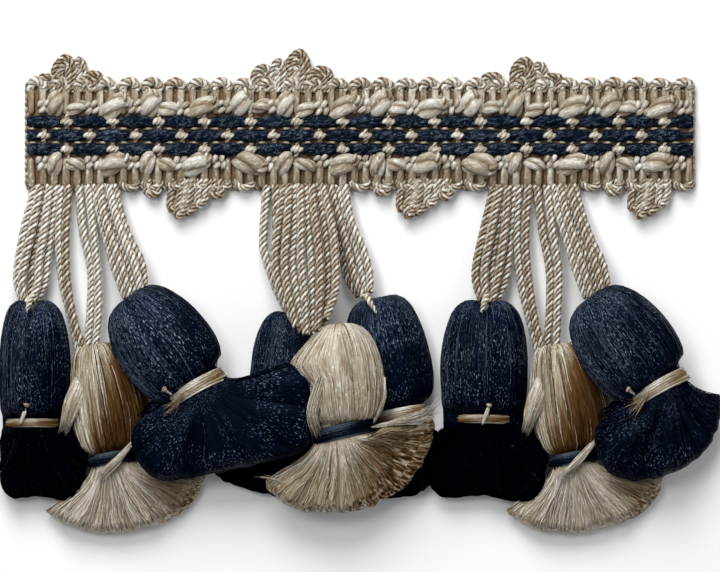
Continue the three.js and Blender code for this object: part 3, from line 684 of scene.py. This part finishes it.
# beads that tie the navy yarns down, each a knot of short strokes on a stem, and thin lines between the rows
bead = dict(spots=((-0.66, 0.12), (0.0, 0.0), (0.62, -0.16)), stroke=0.85, lean=math.radians(42), half=0.5,
            rings=9, foot=2.3, tops=(2.95, 3.25, 2.95), tones=(0.63, 0.55, 0.47), margin=1.3)
stem = dict(reach=1.6, foot=2.1, top=2.7, radius=0.5, twist=1.6, tone=0.5)
dashLine = dict(half=0.26, low=0.95, peak=2.0, at=0.23, width=0.075, rings=300, crested=(1, 2))
binder = []
for y, offset in zip(heading["rows"], heading["rowShifts"]):
    for x in placesAlong(heading["first"] + offset * heading["pitch"], heading["pitch"], bead["margin"]):
        tilt = rng.uniform(-0.2, 0.2)
        line = [(x - tilt, y - stem["reach"], stem["foot"]), (x, y, stem["top"]),
                (x + tilt, y + stem["reach"], stem["foot"])]
        binder.append(twistedCord(line, stem["radius"], stem["twist"], tone=stem["tone"], perTurn=7, sides=5))
        for k, (sx, sy) in enumerate(bead["spots"]):
            lean = bead["lean"] + rng.uniform(-0.25, 0.25)
            # painted light: the strokes are lighter towards the upper left
            tone = bead["tones"][k] + rng.uniform(-0.06, 0.1)
            binder.append(shortStroke(x + sx, y + sy, lean, bead, bead["foot"], bead["tops"][k], tone))
for row, y in enumerate(heading["lines"]):
    x = np.linspace(-halfLength, halfLength, dashLine["rings"])
    beat = (x - heading["first"]) / heading["pitch"]
    fromCrest = (np.abs(beat - np.round(beat)) - dashLine["at"]) / dashLine["width"]
    crest = np.exp(-fromCrest ** 2) * (row in dashLine["crested"])
    path = np.stack([x, y + rng.normal(0, 0.03, len(x)), dashLine["low"] + dashLine["peak"] * crest], axis=1)
    tone = 0.5 + rng.normal(0, 0.08, (1, len(x)))
    binder.append(sweep(path[None], dashLine["half"], dashLine["half"], 5, tone=tone))
makePiece("binder_beads", binder, beigeCord, "beige_yarn", "binder_yarns")
print("heading made")


# hanger cords

cord = dict(radius=0.94, twist=4.4, inset=0.92, tone=0.48, lowest=1.2, sway=0.25)
cordYarn = dict(perTurn=10, marl=0.17, grooveShade=1.1, taper=(1, 1, 1, 0.85))
for node, (shift, bundles) in hangers.items():
    cords = []
    for bundle in bundles:
        lastStep = len(bundle["z"]) - 1
        for k in range(bundle["count"]):
            share = k / (bundle["count"] - 1)
            bulge = math.sin(math.pi * share)
            line = []
            for step, (a, b) in enumerate(zip(bundle["left"], bundle["right"])):
                sway = rng.uniform(-cord["sway"], cord["sway"])
                x = mix(a[0] + cord["inset"], b[0] - cord["inset"], share) + shift + sway
                y = mix(a[1], b[1], share) - bundle["bow"] * bulge * (step == lastStep)
                over = (k % 2 - 0.5) * bundle["over"] * (1.0 if step else 0.5)
                line.append((x, y, max(bundle["z"][step] + over + bundle["hump"] * bulge, cord["lowest"])))
            cords.append(twistedCord(line, cord["radius"], cord["twist"], **rope, **cordYarn,
                                     tone=cord["tone"] + rng.uniform(-0.13, 0.25)))
    makePiece("cords_" + node, cords, beigeCord, "beige_yarn", node)
print("hanger cords made")


# tassels: top and neck are the ends of a head; left, right and up its half sizes; crown, full and base shape
# its outline; cleft and flare notch its crown and widen its left shoulder; rim is the cut end of its skirt
# from left to right; lift the heights under the rim; bevel gives the slope of the cut end and the setting
# after it the painted shade that darkens the cut end; dark how far the skirt is darker than the head; shade
# how far painted shade makes the head's lower right browner

usual = dict(
    crown=1.0, full=0.8, base=1.0, up=5.0, cleft=0.0, flare=0.0, tone=0.5, dark=0.48, shade=0.3,
    shadeFrom=(0.4, 1.0), shadeLean=0.22, zNeck=3.7, lift=(0, 0, 0), thick=4.6, bevel=(0, 0), cutShade=(0, 0),
    cutShadeFrom=(0.44, 0.7), crease=None, tieTurn=0.0, tieWide=2.3, tieTone=0.42, locks=[],
)
rightTassels = [
    dict(name="navy_right_1", yarn="navy", top=(25.0, -32.8), neck=(24.6, -56.2), left=8.6, right=8.6, up=5.5,
         full=0.75, base=0.3, neckHalf=8.0, tieHalf=5.4, tieWide=1.5, tieTone=0.2, zTop=5.0, lift=(0, 0, 1.0),
         cleft=0.085, dark=0.5, shade=0.35, knot=((24.2, -57.6, 7.2), (25.6, -53.6, 8.8)),
         thread=((25.2, -31.8, 8.2), (24.5, -33.6, 9.6), (24.0, -35.2, 10.4)),
         rim=((15.7, -58.6), (14.6, -63.4), (13.9, -68.6), (15.4, -71.6), (19.0, -72.3), (24.0, -71.7),
              (29.0, -72.6), (33.4, -73.2), (36.2, -71.0), (37.2, -66.6), (38.2, -62.2), (36.4, -58.0))),
    dict(name="beige_right_2", yarn="beige", top=(38.6, -41.6), neck=(42.4, -64.0), left=6.8, right=8.6,
         up=4.8, crown=0.85, full=0.62, neckHalf=4.4, zTop=4.4, bevel=(0.3, 1.5), cutShade=(0.15, 1.3),
         cutShadeFrom=(0.58, 0.88), shade=0.92, shadeFrom=(0.34, 0.8), shadeLean=0.38, tone=0.46, spread=0.42,
         dark=-0.13,
         locks=[dict(line=((37.8, -45.0, 5.0), (35.7, -50.6, 7.2), (34.1, -55.0, 7.4), (33.1, -58.4, 6.8)),
                     core=True, wide=(1.0, 1.8, 1.0), tone=0.54, fray=0.5, loose=0.1, count=150, half=0.1),
                dict(line=((46.6, -61.0, 7.0), (43.6, -64.4, 8.2), (40.2, -67.8, 7.2)),
                     wide=(0.4, 0.9, 0.6), tone=0.62, fray=0.6, loose=0.4, count=60, half=0.08)],
         rim=((28.8, -75.0), (32.0, -77.2), (37.0, -79.0), (42.2, -79.5), (48.0, -78.8), (54.0, -77.2),
              (58.8, -73.6), (61.8, -67.8))),
    dict(name="navy_right_3", yarn="navy", top=(45.5, -32.2), neck=(59.2, -49.8), left=9.6, right=9.4, up=5.5,
         full=1.0, neckHalf=5.4, tieTurn=-9.0, tieWide=2.7, zTop=7.5, zNeck=8.0, lift=(8.3, 5.6, 1.4),
         crease=0.44, bevel=(1.6, 0.3), tone=0.54, dark=0.26, knot=((54.4, -51.5, 10.4), (53.0, -50.4, 11.8)),
         tail=dict(line=((56.2, -51.8, 12.0), (55.0, -53.4, 12.7), (53.6, -54.6, 12.9)), wide=(0.4, 1.0, 1.4),
                   tone=0.15, fray=0.6, loose=0.6, count=26, half=0.04),
         locks=[dict(line=((55.6, -52.2, 8.6), (52.2, -53.4, 8.2), (48.6, -55.6, 7.2)), core=True,
                     wide=(0.8, 1.5, 1.0), tone=0.15, fray=0.6, loose=0.3, count=70, half=0.09)],
         rim=((49.4, -55.4), (46.2, -58.2), (46.2, -62.4), (48.2, -66.6), (51.4, -68.8), (56.0, -69.2),
              (62.0, -67.4), (68.4, -63.4), (71.6, -57.4), (71.8, -51.6))),
]
middleTassels = [
    dict(name="navy_middle_1", yarn="navy", top=(-14.2, -35.2), neck=(-16.4, -57.0), left=6.4, right=5.6,
         up=4.8, neckHalf=4.2, zTop=4.6, thick=3.4,
         rim=((-25.0, -61.0), (-28.6, -64.4), (-28.4, -68.0), (-23.6, -70.2), (-18.6, -71.6), (-14.0, -72.4),
              (-9.0, -72.0), (-5.6, -68.6), (-4.6, -63.6))),
    dict(name="beige_middle_2", yarn="beige", top=(-4.2, -37.4), neck=(-3.0, -58.0), left=7.2, right=8.4,
         up=5.3, full=1.05, flare=0.5, neckHalf=5.8, tieTurn=10.5, tieWide=2.9, zTop=13.7, zNeck=10.2,
         lift=(5.4, 5.2, 9.6), bevel=(0.3, 8.0), cutShade=(0.55, 1.5), cutShadeFrom=(0.26, 0.62), shade=0.16,
         tone=0.53, dark=-0.04,
         locks=[dict(line=((3.6, -57.6, 12.4), (7.0, -56.9, 13.2), (10.2, -56.2, 14.0), (13.4, -55.2, 14.2)),
                     wide=(0.3, 0.6, 0.8), tone=0.56, fray=0.6, loose=0.6, count=200, half=0.065),
                dict(line=((-4.0, -39.0, 18.4), (-2.8, -43.4, 18.4), (-1.6, -48.4, 17.2)),
                     wide=(0.05, 0.16, 0.05), tone=0.8, fray=0.4, loose=0.15, count=8, half=0.08),
                dict(line=((-6.6, -45.0, 16.0), (-8.4, -51.0, 15.4), (-9.4, -55.2, 14.6),
                           (-8.6, -58.6, 12.6)), core=True,
                     wide=(0.6, 1.2, 1.0), tone=0.54, fray=1.0, loose=0.1, count=130, half=0.09),
                dict(line=((4.8, -48.6, 13.4), (4.6, -52.4, 13.6), (3.0, -56.2, 13.2)),
                     wide=(0.2, 0.5, 0.25), tone=0.62, fray=0.4, loose=0.1, count=40, half=0.08),
                dict(line=((10.0, -56.6, 14.2), (13.2, -55.0, 14.8), (15.2, -52.8, 15.2)),
                     wide=(0.3, 0.5, 0.5), tone=0.55, fray=0.6, loose=0.6, count=12, half=0.045),
                dict(line=((-14.6, -69.0, 10.0), (-17.4, -68.0, 10.2), (-19.6, -67.8, 10.4)),
                     wide=(0.3, 0.6, 0.9), tone=0.45, fray=0.8, loose=0.3, count=5, half=0.045)],
         rim=((-18.8, -68.6), (-17.8, -71.4), (-12.0, -74.6), (-6.0, -75.2), (0.0, -74.8), (5.4, -73.4),
              (10.2, -70.6), (14.2, -65.2), (17.2, -58.2), (16.6, -53.4))),
    dict(name="navy_middle_3", yarn="navy", top=(3.6, -32.2), neck=(8.0, -55.2), left=8.4, right=8.0,
         neckHalf=4.6, zTop=4.8, thick=3.8, thread=((1.0, -31.6, 7.8), (2.1, -33.4, 9.2), (3.3, -35.4, 10.0)),
         rim=((0.6, -67.0), (1.0, -71.4), (4.6, -72.4), (8.8, -72.2), (12.6, -71.0), (15.6, -67.6),
              (16.6, -62.6), (15.6, -59.0))),
]
# the left group differs where the trim is cut off, and where its last skirt lies over the middle group
leftNames = ("navy_left_1", "beige_left_2", "navy_left_3")
leftChanges = {
    "navy_left_1": dict(
        top=(-65.2, -32.8), neck=(-65.2, -57.0), left=6.7, right=7.6, neckHalf=6.0, tieHalf=4.9,
        thread=((-65.0, -31.8, 8.2), (-65.6, -33.6, 9.6), (-66.0, -35.2, 10.4)),
        rim=((-71.4, -58.4), (-71.9, -64.0), (-71.6, -69.8), (-69.0, -72.2), (-64.0, -72.0), (-58.6, -73.0),
             (-55.5, -71.0), (-54.5, -66.6), (-53.5, -62.2), (-55.3, -58.0))),
    "navy_left_3": dict(
        lift=(8.3, 6.4, 11.6), crease=0.36,
        rim=((-42.3, -55.4), (-45.5, -58.2), (-45.6, -62.4), (-43.6, -66.6), (-40.4, -68.8), (-36.0, -69.2),
             (-29.2, -67.8), (-20.0, -65.8), (-11.2, -62.8), (-9.4, -58.0), (-9.0, -51.4), (-10.2, -46.8),
             (-14.2, -45.0))),
}


def moved(points, dx):
    return tuple((p[0] + dx, *p[1:]) for p in points)


def leftCopy(row, name):
    twin = dict(row, name=name)
    for key in ("rim", "knot", "thread"):
        if key in row:
            twin[key] = moved(row[key], groupShift)
    twin["top"], twin["neck"] = moved((row["top"], row["neck"]), groupShift)
    twin["locks"] = [dict(lock, line=moved(lock["line"], groupShift)) for lock in row.get("locks", [])]
    if "tail" in row:
        twin["tail"] = dict(row["tail"], line=moved(row["tail"]["line"], groupShift))
    return {**twin, **leftChanges.get(name, {})}


leftTassels = [leftCopy(row, name) for row, name in zip(rightTassels, leftNames)]
tassels = [{**usual, "tieHalf": row["neckHalf"], **row} for row in leftTassels + middleTassels + rightTassels]

# a head's outline from its crown, where the yarn turns in, to its neck: place along the head, and width
headOutline = [(0.93, 0.02), (0.975, 0.09), (1.0, 0.2), (0.992, 0.36), (0.955, 0.55), (0.89, 0.71),
               (0.795, 0.83), (0.67, 0.93), (0.52, 0.99), (0.37, 1.0), (0.25, 0.97), (0.15, 0.91),
               (0.085, 0.82)]
neckPlaces = (0.045, -0.04, -0.1)
neckBulb = 0.7
headYarn = dict(rings=30, around=140, fine=0.045, locks=30, lockHeight=0.06, neckUp=2.6, cleftWidth=0.9,
                lowest=0.12, sway=0.05, sunk=0.05, reliefTone=0.7, mapSize=(28, 44))
headFibre = dict(count=250, steps=9, sides=3, half=0.1, starts=(0.06, 0.66), lengths=(0.25, 0.45), last=0.97,
                 past=0.5, wander=0.012, stand=(0.05, 0.07), spread=dict(navy=0.1, beige=0.28))
skirtYarn = dict(columns=130, rings=14, lips=6, fine=0.05, clumps=17, clumpHeight=0.1, leave=0.3, arrive=0.4,
                 puff=1.2, round=1.8, lowest=0.2, shellLowest=0.12, rimPoints=240, samples=200, ragged=0.14,
                 uneven=0.4, creaseDepth=1.8, creaseWidth=0.06, reliefTone=0.5, cutShadeTone=0.35,
                 mapSize=(20, 90))
skirtFibre = dict(count=dict(navy=360, beige=640), steps=dict(navy=9, beige=11), sides=3, half=0.09,
                  starts=(0.04, 0.5), drift=0.02, waves=((0.012, (5, 11)), (0.005, (14, 24))),
                  cut=(-0.6, 0.3), underCut=1.5, stand=(0.14, 0.1), sunk=0.06,
                  spread=dict(navy=0.1, beige=0.27), cutShadeTone=0.4)
tieYarn = dict(turns=7, perTurn=22, half=0.22, bow=0.01, lustre=0.34, lustreAt=-0.1, lustreWidth=0.5,
               lowest=0.25, gap=0.3, layers=((0.25, 1.0), (0.53, -0.85)))
# stem and tuft: half width, half height, rings and points round
knot = dict(reach=0.6, stem=(0.4, 0.4, 9, 10), tuft=(0.42, 0.42, 9, 10))
topThread = dict(radius=0.62, twist=2.2, tone=0.58, taper=(1.2, 1.0, 0.35))


def localFrame(t):
    neck, top = np.array(t["neck"]), np.array(t["top"])
    length = float(np.linalg.norm(top - neck))
    ay = (top - neck) / length
    ax = np.array([ay[1], -ay[0]])
    return neck, ax, ay, length


def toWorld(t, x, y, z):
    neck, ax, ay, _ = localFrame(t)
    flat = neck + np.asarray(x)[..., None] * ax + np.asarray(y)[..., None] * ay
    return np.concatenate([flat, np.asarray(z)[..., None]], axis=-1)


def headSurface(t, s, turn, out=0.0):
    # points of a head's surface: s from 0 at the crown to 1 at the neck, turn round it from its right side
    places = [row[0] for row in headOutline] + list(neckPlaces)
    widths = [row[1] for row in headOutline] + [neckBulb] * len(neckPlaces)
    inNeck = [0.0] * len(headOutline) + [1.0] * len(neckPlaces)
    at = np.linspace(0, 1, len(places))
    along, bulb, neckShare = (np.interp(s, at, column) for column in (places, widths, inNeck))
    bulb = bulb ** np.where(along > 0.5, t["full"], t["base"])
    crown = mix(1.0, t["crown"], smooth(along, 0.4, 0.95))
    lean = np.cos(turn)
    flare = 1 + t["flare"] * smooth(0.98 - along, 0.0, 0.36) * smooth(along, 0.44, 0.62)
    half = np.where(lean < 0, t["left"] * flare, t["right"])
    across = lean * (mix(bulb * crown * half, t["neckHalf"], neckShare) + out)
    high = mix(bulb * t["up"], headYarn["neckUp"], neckShare) + out
    notch = t["cleft"] * np.exp(-(across / headYarn["cleftWidth"]) ** 2)
    along = along - notch * smooth(along, 0.6, 0.98)
    z = np.maximum(mix(t["zNeck"], t["zTop"], along) + np.sin(turn) * high, headYarn["lowest"])
    return toWorld(t, across, along * localFrame(t)[3], z)


def gridPart(places, tones, long, girth, slit=False):
    # a closed skin from rings of places, with a face over each end, or sewn up along a slit at the last
    rings, around = places.shape[:2]
    index = np.arange(rings * around).reshape(1, rings, around)
    u = np.linspace(0, long, rings)[None] + rng.uniform(0, mapSpread)
    v = np.linspace(0, girth, around + 1)[None] + rng.uniform(0, mapSpread)
    last = index[0, -1]
    ends = [index[:, 0]]
    if slit:
        over, under = last[:around // 2], last[around // 2:][::-1]
        ends.append(np.stack([under[:-1], under[1:], over[1:], over[:-1]], axis=-1))
    else:
        ends.append(last[None, ::-1])
    faces = [ringFaces(index, u, v)] + [(end, np.zeros(end.shape + (2,))) for end in ends]
    tones = np.broadcast_to(tones, (rings, around)).ravel()
    return dict(points=places.reshape(-1, 3), tones=tones, faces=faces)


def headShade(t, s, turn):
    # painted shade: the lower right of a head is browner, as it lies out of the light
    return t["shade"] * smooth(s + t["shadeLean"] * np.cos(turn), *t["shadeFrom"])


def headSway(turn, s):
    return headYarn["sway"] * np.sin(3 * turn + 2) * s


def makeHead(t):
    # a head's skin, and single fibres that lie along it
    rings, around = headYarn["rings"], headYarn["around"]
    s = np.linspace(0, 1, rings)[:, None]
    turn = np.linspace(2 * math.pi, 0, around, endpoint=False)[None]
    fine = readAlong(rng.normal(0, headYarn["fine"], (5, around)), s[:, 0])
    locks = smoothRandom(around, headYarn["locks"], headYarn["lockHeight"])[None]
    relief = fine + locks * np.sin(math.pi * s)
    out = relief * smooth(s, 0.05, 0.3) - headYarn["sunk"]
    skin = headSurface(t, s + 0 * turn, turn + headSway(turn, s), out=out)
    # painted shade: the skin is darker in its hollows between locks and browner at the lower right
    tones = t["tone"] - 0.05 + headYarn["reliefTone"] * relief - headShade(t, s, turn)
    shell = gridPart(skin, tones, *headYarn["mapSize"])
    count = headFibre["count"]
    own = np.linspace(0, 1, headFibre["steps"])[None]
    start = rng.uniform(*headFibre["starts"], (count, 1))
    s = np.minimum(start + rng.uniform(*headFibre["lengths"], (count, 1)) * own, headFibre["last"])
    first = rng.uniform(-headFibre["past"], math.pi + headFibre["past"], (count, 1))
    turns = first + np.cumsum(rng.normal(0, headFibre["wander"], s.shape), axis=1) + headSway(first, s)
    stand = np.abs(rng.normal(*headFibre["stand"], (count, 1)))
    rise = stand * np.sin(math.pi * own) - headYarn["sunk"]
    paths = headSurface(t, s, turns, out=rise)
    _, _, _, length = localFrame(t)
    middle = toWorld(t, 0 * s, (1 - s) * length, mix(t["zTop"], t["zNeck"], s))
    half = headFibre["half"] * rng.uniform(0.7, 1.2, (count, 1)) * (0.4 + 0.6 * np.sin(math.pi * own))
    spread = t.get("spread", headFibre["spread"][t["yarn"]])
    # the fibres take the same painted shade at the lower right
    tones = t["tone"] + rng.normal(0, spread, (count, 1)) - headShade(t, s, turns)
    return [shell, sweep(paths, half, half * 0.8, headFibre["sides"], ref=unit(paths - middle), tone=tones)]


def skirtPoint(t, plan, share, layer, s, extra=0.0):
    # where the yarn of a skirt runs: share across the fan, layer from under to top, s from neck to cut end
    neck, _, ay, _ = localFrame(t)
    share, layer, s, extra = np.broadcast_arrays(share, layer, s, extra)
    at = np.linspace(0, 1, len(plan["rim"]))
    rim = np.stack([np.interp(share, at, plan["rim"][:, k]) for k in (0, 1)], axis=-1)
    reach = np.linalg.norm(rim - neck, axis=-1)
    out = (rim - neck) / reach[..., None]
    grid = np.linspace(0, 1, len(plan["long"]))
    cut = mix(t["bevel"][0], t["bevel"][1], smooth(share, 0.35, 0.75)) * layer
    far = reach - cut + extra + np.interp(share, grid, plan["long"])
    endZ = np.interp(share, [0, 0.25, 0.5, 0.75, 1], plan["under"]) + 0.25
    endZ = endZ + layer * (t["thick"] + np.interp(share, grid, plan["high"]))
    roundness = np.sqrt(np.clip(1 - (2 * share - 1) ** 2, 0.04, 1))
    rootZ = t["zNeck"] + (layer * 2 - 1) * (headYarn["neckUp"] - 0.2) * roundness
    root = toWorld(t, (share * 2 - 1) * (t["neckHalf"] - 0.4), np.full(share.shape, 0.8), rootZ)
    end = np.concatenate([neck + out * far[..., None], endZ[..., None]], axis=-1)
    out = np.concatenate([out, np.zeros(share.shape + (1,))], axis=-1)
    puff = (skirtYarn["puff"] * (layer - 0.2))[..., None] * zUp
    first = root + np.append(-ay, 0) * (skirtYarn["leave"] * reach)[..., None] + puff
    last = end - out * (skirtYarn["arrive"] * reach)[..., None] + puff
    s = s[..., None]
    place = root * (1 - s) ** 3 + 3 * first * s * (1 - s) ** 2 + 3 * last * s**2 * (1 - s) + end * s**3
    place[..., 2] = np.maximum(place[..., 2], skirtYarn["lowest"])
    return place


def skirtCutShade(t, share):
    # how far painted shade darkens the cut end across the fan, less again at its right end
    rightEnd = smooth(share, 0.84, 0.97)
    return mix(*t["cutShade"], smooth(share, *t["cutShadeFrom"]) * (1 - 0.6 * rightEnd))


def skirtShell(t, plan, tone):
    # the skin of a fan: over its top, back under it, and rounded in to a slit at the cut end
    columns, rings, lips = skirtYarn["columns"], skirtYarn["rings"], skirtYarn["lips"]
    share = (np.arange(columns) + 0.5) / columns
    share = np.concatenate([share, share[::-1]])[None]
    face = np.repeat([1.0, -1.0], columns)[None]
    layer = 0.5 + 0.5 * face * np.sqrt(1 - (2 * share - 1) ** 4)
    s = np.linspace(0.02, 1, rings)[:, None]
    body = skirtPoint(t, plan, share, layer, s, -skirtYarn["round"])
    fine = readAlong(rng.normal(0, skirtYarn["fine"], (4, 2 * columns)), s[:, 0])
    clumps = np.tile(smoothRandom(columns, skirtYarn["clumps"] * 2, skirtYarn["clumpHeight"]), 2)[None]
    relief = fine + clumps * smooth(s, 0.1, 0.6)
    body[..., 2] = np.maximum(body[..., 2] + face * relief, skirtYarn["shellLowest"])
    close = np.linspace(0, 1, lips + 1)[1:, None] * math.pi / 2
    turnIn = 1 - np.cos(close) * 0.98
    lip = skirtPoint(t, plan, share, mix(layer, 0.5, turnIn), 1.0, skirtYarn["round"] * (np.sin(close) - 1))
    lip[..., 2] = np.maximum(lip[..., 2] + (face * relief)[-1:] * np.cos(close), skirtYarn["shellLowest"])
    # painted shade: the skin is darker in the hollows between its clumps and towards a shaded cut end, and
    # its rounded cut end is darker again, with random specks
    shadeMix = skirtYarn["cutShadeTone"] * skirtCutShade(t, share)
    tones = tone - 0.05 + skirtYarn["reliefTone"] * relief - shadeMix * smooth(s, 0.3, 1.0)
    specks = np.minimum(rng.normal(0, 1, lip.shape[:2]), 1.1)
    lipTones = tone - 0.1 - 0.9 * shadeMix + specks * (0.1 + 0.7 * shadeMix)
    skin, tones = np.concatenate([body, lip]), np.concatenate([tones, lipTones])
    return gridPart(skin, tones, *skirtYarn["mapSize"], slit=True)


def skirtStrands(t, plan, tone):
    # single fibres of a fan, from under to top, that drift and stop short of its cut end
    count, steps = skirtFibre["count"][t["yarn"]], skirtFibre["steps"][t["yarn"]]
    share = ((np.arange(count) + rng.uniform(0, 1, count)) / count)[:, None]
    deep = rng.uniform(0, 1, (count, 1)) ** 1.6
    layer = 0.5 + 0.5 * np.sqrt(1 - (2 * share - 1) ** 4) * (1 - 2 * deep)
    own = np.linspace(0, 1, steps)[None]
    start = rng.uniform(*skirtFibre["starts"], (count, 1))
    s = start + (1 - start) * own
    slow, quick = (size * np.sin(rng.uniform(*beat, (count, 1)) * s + rng.uniform(0, 6, (count, 1)))
                   for size, beat in skirtFibre["waves"])
    drift = rng.normal(0, skirtFibre["drift"], (count, 1)) * s + (slow + quick) * s
    shadeMix = skirtCutShade(t, share)
    under = np.maximum(1 - 2 * layer, 0)
    cut = rng.normal(*skirtFibre["cut"], (count, 1))
    short = cut * np.abs(2 * layer - 1) - 0.05 - skirtFibre["underCut"] * under
    paths = skirtPoint(t, plan, np.clip(share + drift, 0.001, 0.999), layer, s, short)
    rise = rng.normal(*skirtFibre["stand"], (count, 1)) * smooth(own, 0.0, 0.25) - skirtFibre["sunk"]
    paths[..., 2] += rise * np.where(layer > 0.5, 1, 0)
    half = skirtFibre["half"] * rng.uniform(0.75, 1.25, (count, 1)) + 0 * s
    # painted shade on the cut end: fibres there darken towards their ends, less on the top layers, and vary
    # less in tone
    spread = np.maximum(skirtFibre["spread"][t["yarn"]] - 0.14 * shadeMix, 0.09)
    tones = tone + rng.normal(0, 1, (count, 1)) * spread
    tones = tones - skirtFibre["cutShadeTone"] * shadeMix * (1 - 0.2 * layer) * smooth(s, 0.3, 0.9)
    return sweep(paths, half, half, skirtFibre["sides"], tone=tones)


def makeSkirt(t):
    # the plan of a fan: its rim, the heights under it, and how long and how high its yarn is across it
    low, mid, high = t["lift"]
    samples, clumps = skirtYarn["samples"], skirtYarn["clumps"]
    plan = dict(rim=curveThrough(t["rim"], skirtYarn["rimPoints"])[0],
                under=(low, mix(low, mid, 0.6), mid, mix(mid, high, 0.4), high),
                long=smoothRandom(samples, clumps * 2, skirtYarn["ragged"]),
                high=smoothRandom(samples, clumps, skirtYarn["uneven"]))
    if t["crease"]:
        fromCrease = (np.linspace(0, 1, samples) - t["crease"]) / skirtYarn["creaseWidth"]
        plan["high"] = plan["high"] - skirtYarn["creaseDepth"] * np.exp(-fromCrease ** 2)
    tone = t["tone"] - t["dark"]
    return [skirtShell(t, plan, tone), skirtStrands(t, plan, tone)]


def makeLock(lock, steps=10):
    # a loose lock that strays from a head or skirt: middle line, half width along it, and spread of the ends
    count = lock["count"]
    line, _ = curveThrough(lock["line"], steps)
    along = unit(np.gradient(line, axis=0))
    sideways = unit(np.cross(along, zUp))
    s = np.linspace(0, 1, steps)[None, :, None]
    wide = np.interp(s, [0, 0.5, 1], lock["wide"])
    angle, far = rng.uniform(0, 2 * math.pi, (count, 1, 1)), np.sqrt(rng.uniform(0, 1, (count, 1, 1)))
    paths = line + np.cos(angle) * far * wide * sideways + np.sin(angle) * far * np.minimum(wide, 0.9) * zUp
    paths = paths + along * rng.normal(0, lock["fray"], (count, 1, 1)) * (s**2 + (1 - s) ** 2)
    stray = rng.normal(0, lock["loose"], (count, 1, 3)) * s**2
    paths = paths + stray + rng.normal(0, 0.03, (count, steps, 3))
    half = lock["half"] * rng.uniform(0.7, 1.2, (count, 1)) * np.interp(s[..., 0], [0, 0.7, 1], [1, 1, 0.5])
    parts = [sweep(paths, half, half, 3, tone=lock["tone"] + rng.normal(0, 0.18, (count, 1)))]
    if lock.get("core"):
        parts.append(roving(lock["line"], lock["wide"][1], 0.8, 15, 20, ridges=7, tone=lock["tone"] - 0.05,
                            sideShade=0.2))
    return parts


def makeTie(t):
    # thread wound round the neck, once down and once back up over the first winding
    a = np.linspace(0, 2 * math.pi * tieYarn["turns"], tieYarn["turns"] * tieYarn["perTurn"])
    _, _, ay, length = localFrame(t)
    slope = (t["zTop"] - t["zNeck"]) / length
    parts = []
    for out, way in tieYarn["layers"]:
        y = np.linspace(-0.5, 0.5, len(a)) * t["tieWide"] * way + 0.08 * np.sin(a * 0.37)
        grow = out + 0.06 * np.sin(a * 1.7 + out)
        x = np.cos(a) * (t["tieHalf"] + grow)
        z = t["zNeck"] + np.sin(a) * (headYarn["neckUp"] + tieYarn["gap"] + grow) + slope * y
        y = y + x * math.tan(math.radians(t["tieTurn"])) - tieYarn["bow"] * x**2
        path = toWorld(t, x, y - slope * np.sin(a) * headYarn["neckUp"], np.maximum(z, tieYarn["lowest"]))
        tone = t["tieTone"] + 0.26 * np.sin(a * 0.9)
        # painted highlight across the middle of the tie, which is darker towards its sides
        fromLustre = (x / t["tieHalf"] - tieYarn["lustreAt"]) / tieYarn["lustreWidth"]
        tone = tone + tieYarn["lustre"] * (np.exp(-fromLustre ** 2) - 0.4)
        parts.append(sweep(path[None], tieYarn["half"], tieYarn["half"] * 1.1, 4, ref=np.append(ay, 0.0),
                           tone=tone[None]))
    return parts


def makeKnot(foot, head):
    # the end of a winding: a short stem and a small tuft across it
    foot, head = np.array(foot), np.array(head)
    aside = knot["reach"] * unit(np.cross(head - foot, zUp))
    shaft = [foot, (foot + head) / 2 + (0.1, 0.0, 0.2), head]
    tuft = [head - aside, head + (0.0, 0.0, 0.3), head + aside]
    return [roving(shaft, *knot["stem"], depth=0.1, tone=0.66, blunt=0.3),
            roving(tuft, *knot["tuft"], depth=0.14, tone=0.25, blunt=0.4)]


for t in tassels:
    floss = makeHead(t) + makeSkirt(t)
    for lock in t["locks"]:
        floss += makeLock(lock)
    makePiece("floss_" + t["name"], floss, flossOf[t["yarn"]], slotOf[t["yarn"]], "tassel_" + t["name"])
    wound = makeTie(t)
    if "knot" in t:
        wound += makeKnot(*t["knot"])
    if "tail" in t:
        wound += makeLock(t["tail"])
    if "thread" in t:
        wound.append(twistedCord(t["thread"], topThread["radius"], topThread["twist"], tone=topThread["tone"],
                                 taper=topThread["taper"]))
    makePiece("winding_" + t["name"], wound, tieOf[t["yarn"]], tieSlotOf[t["yarn"]], "tie_" + t["name"])
print("tassels made")
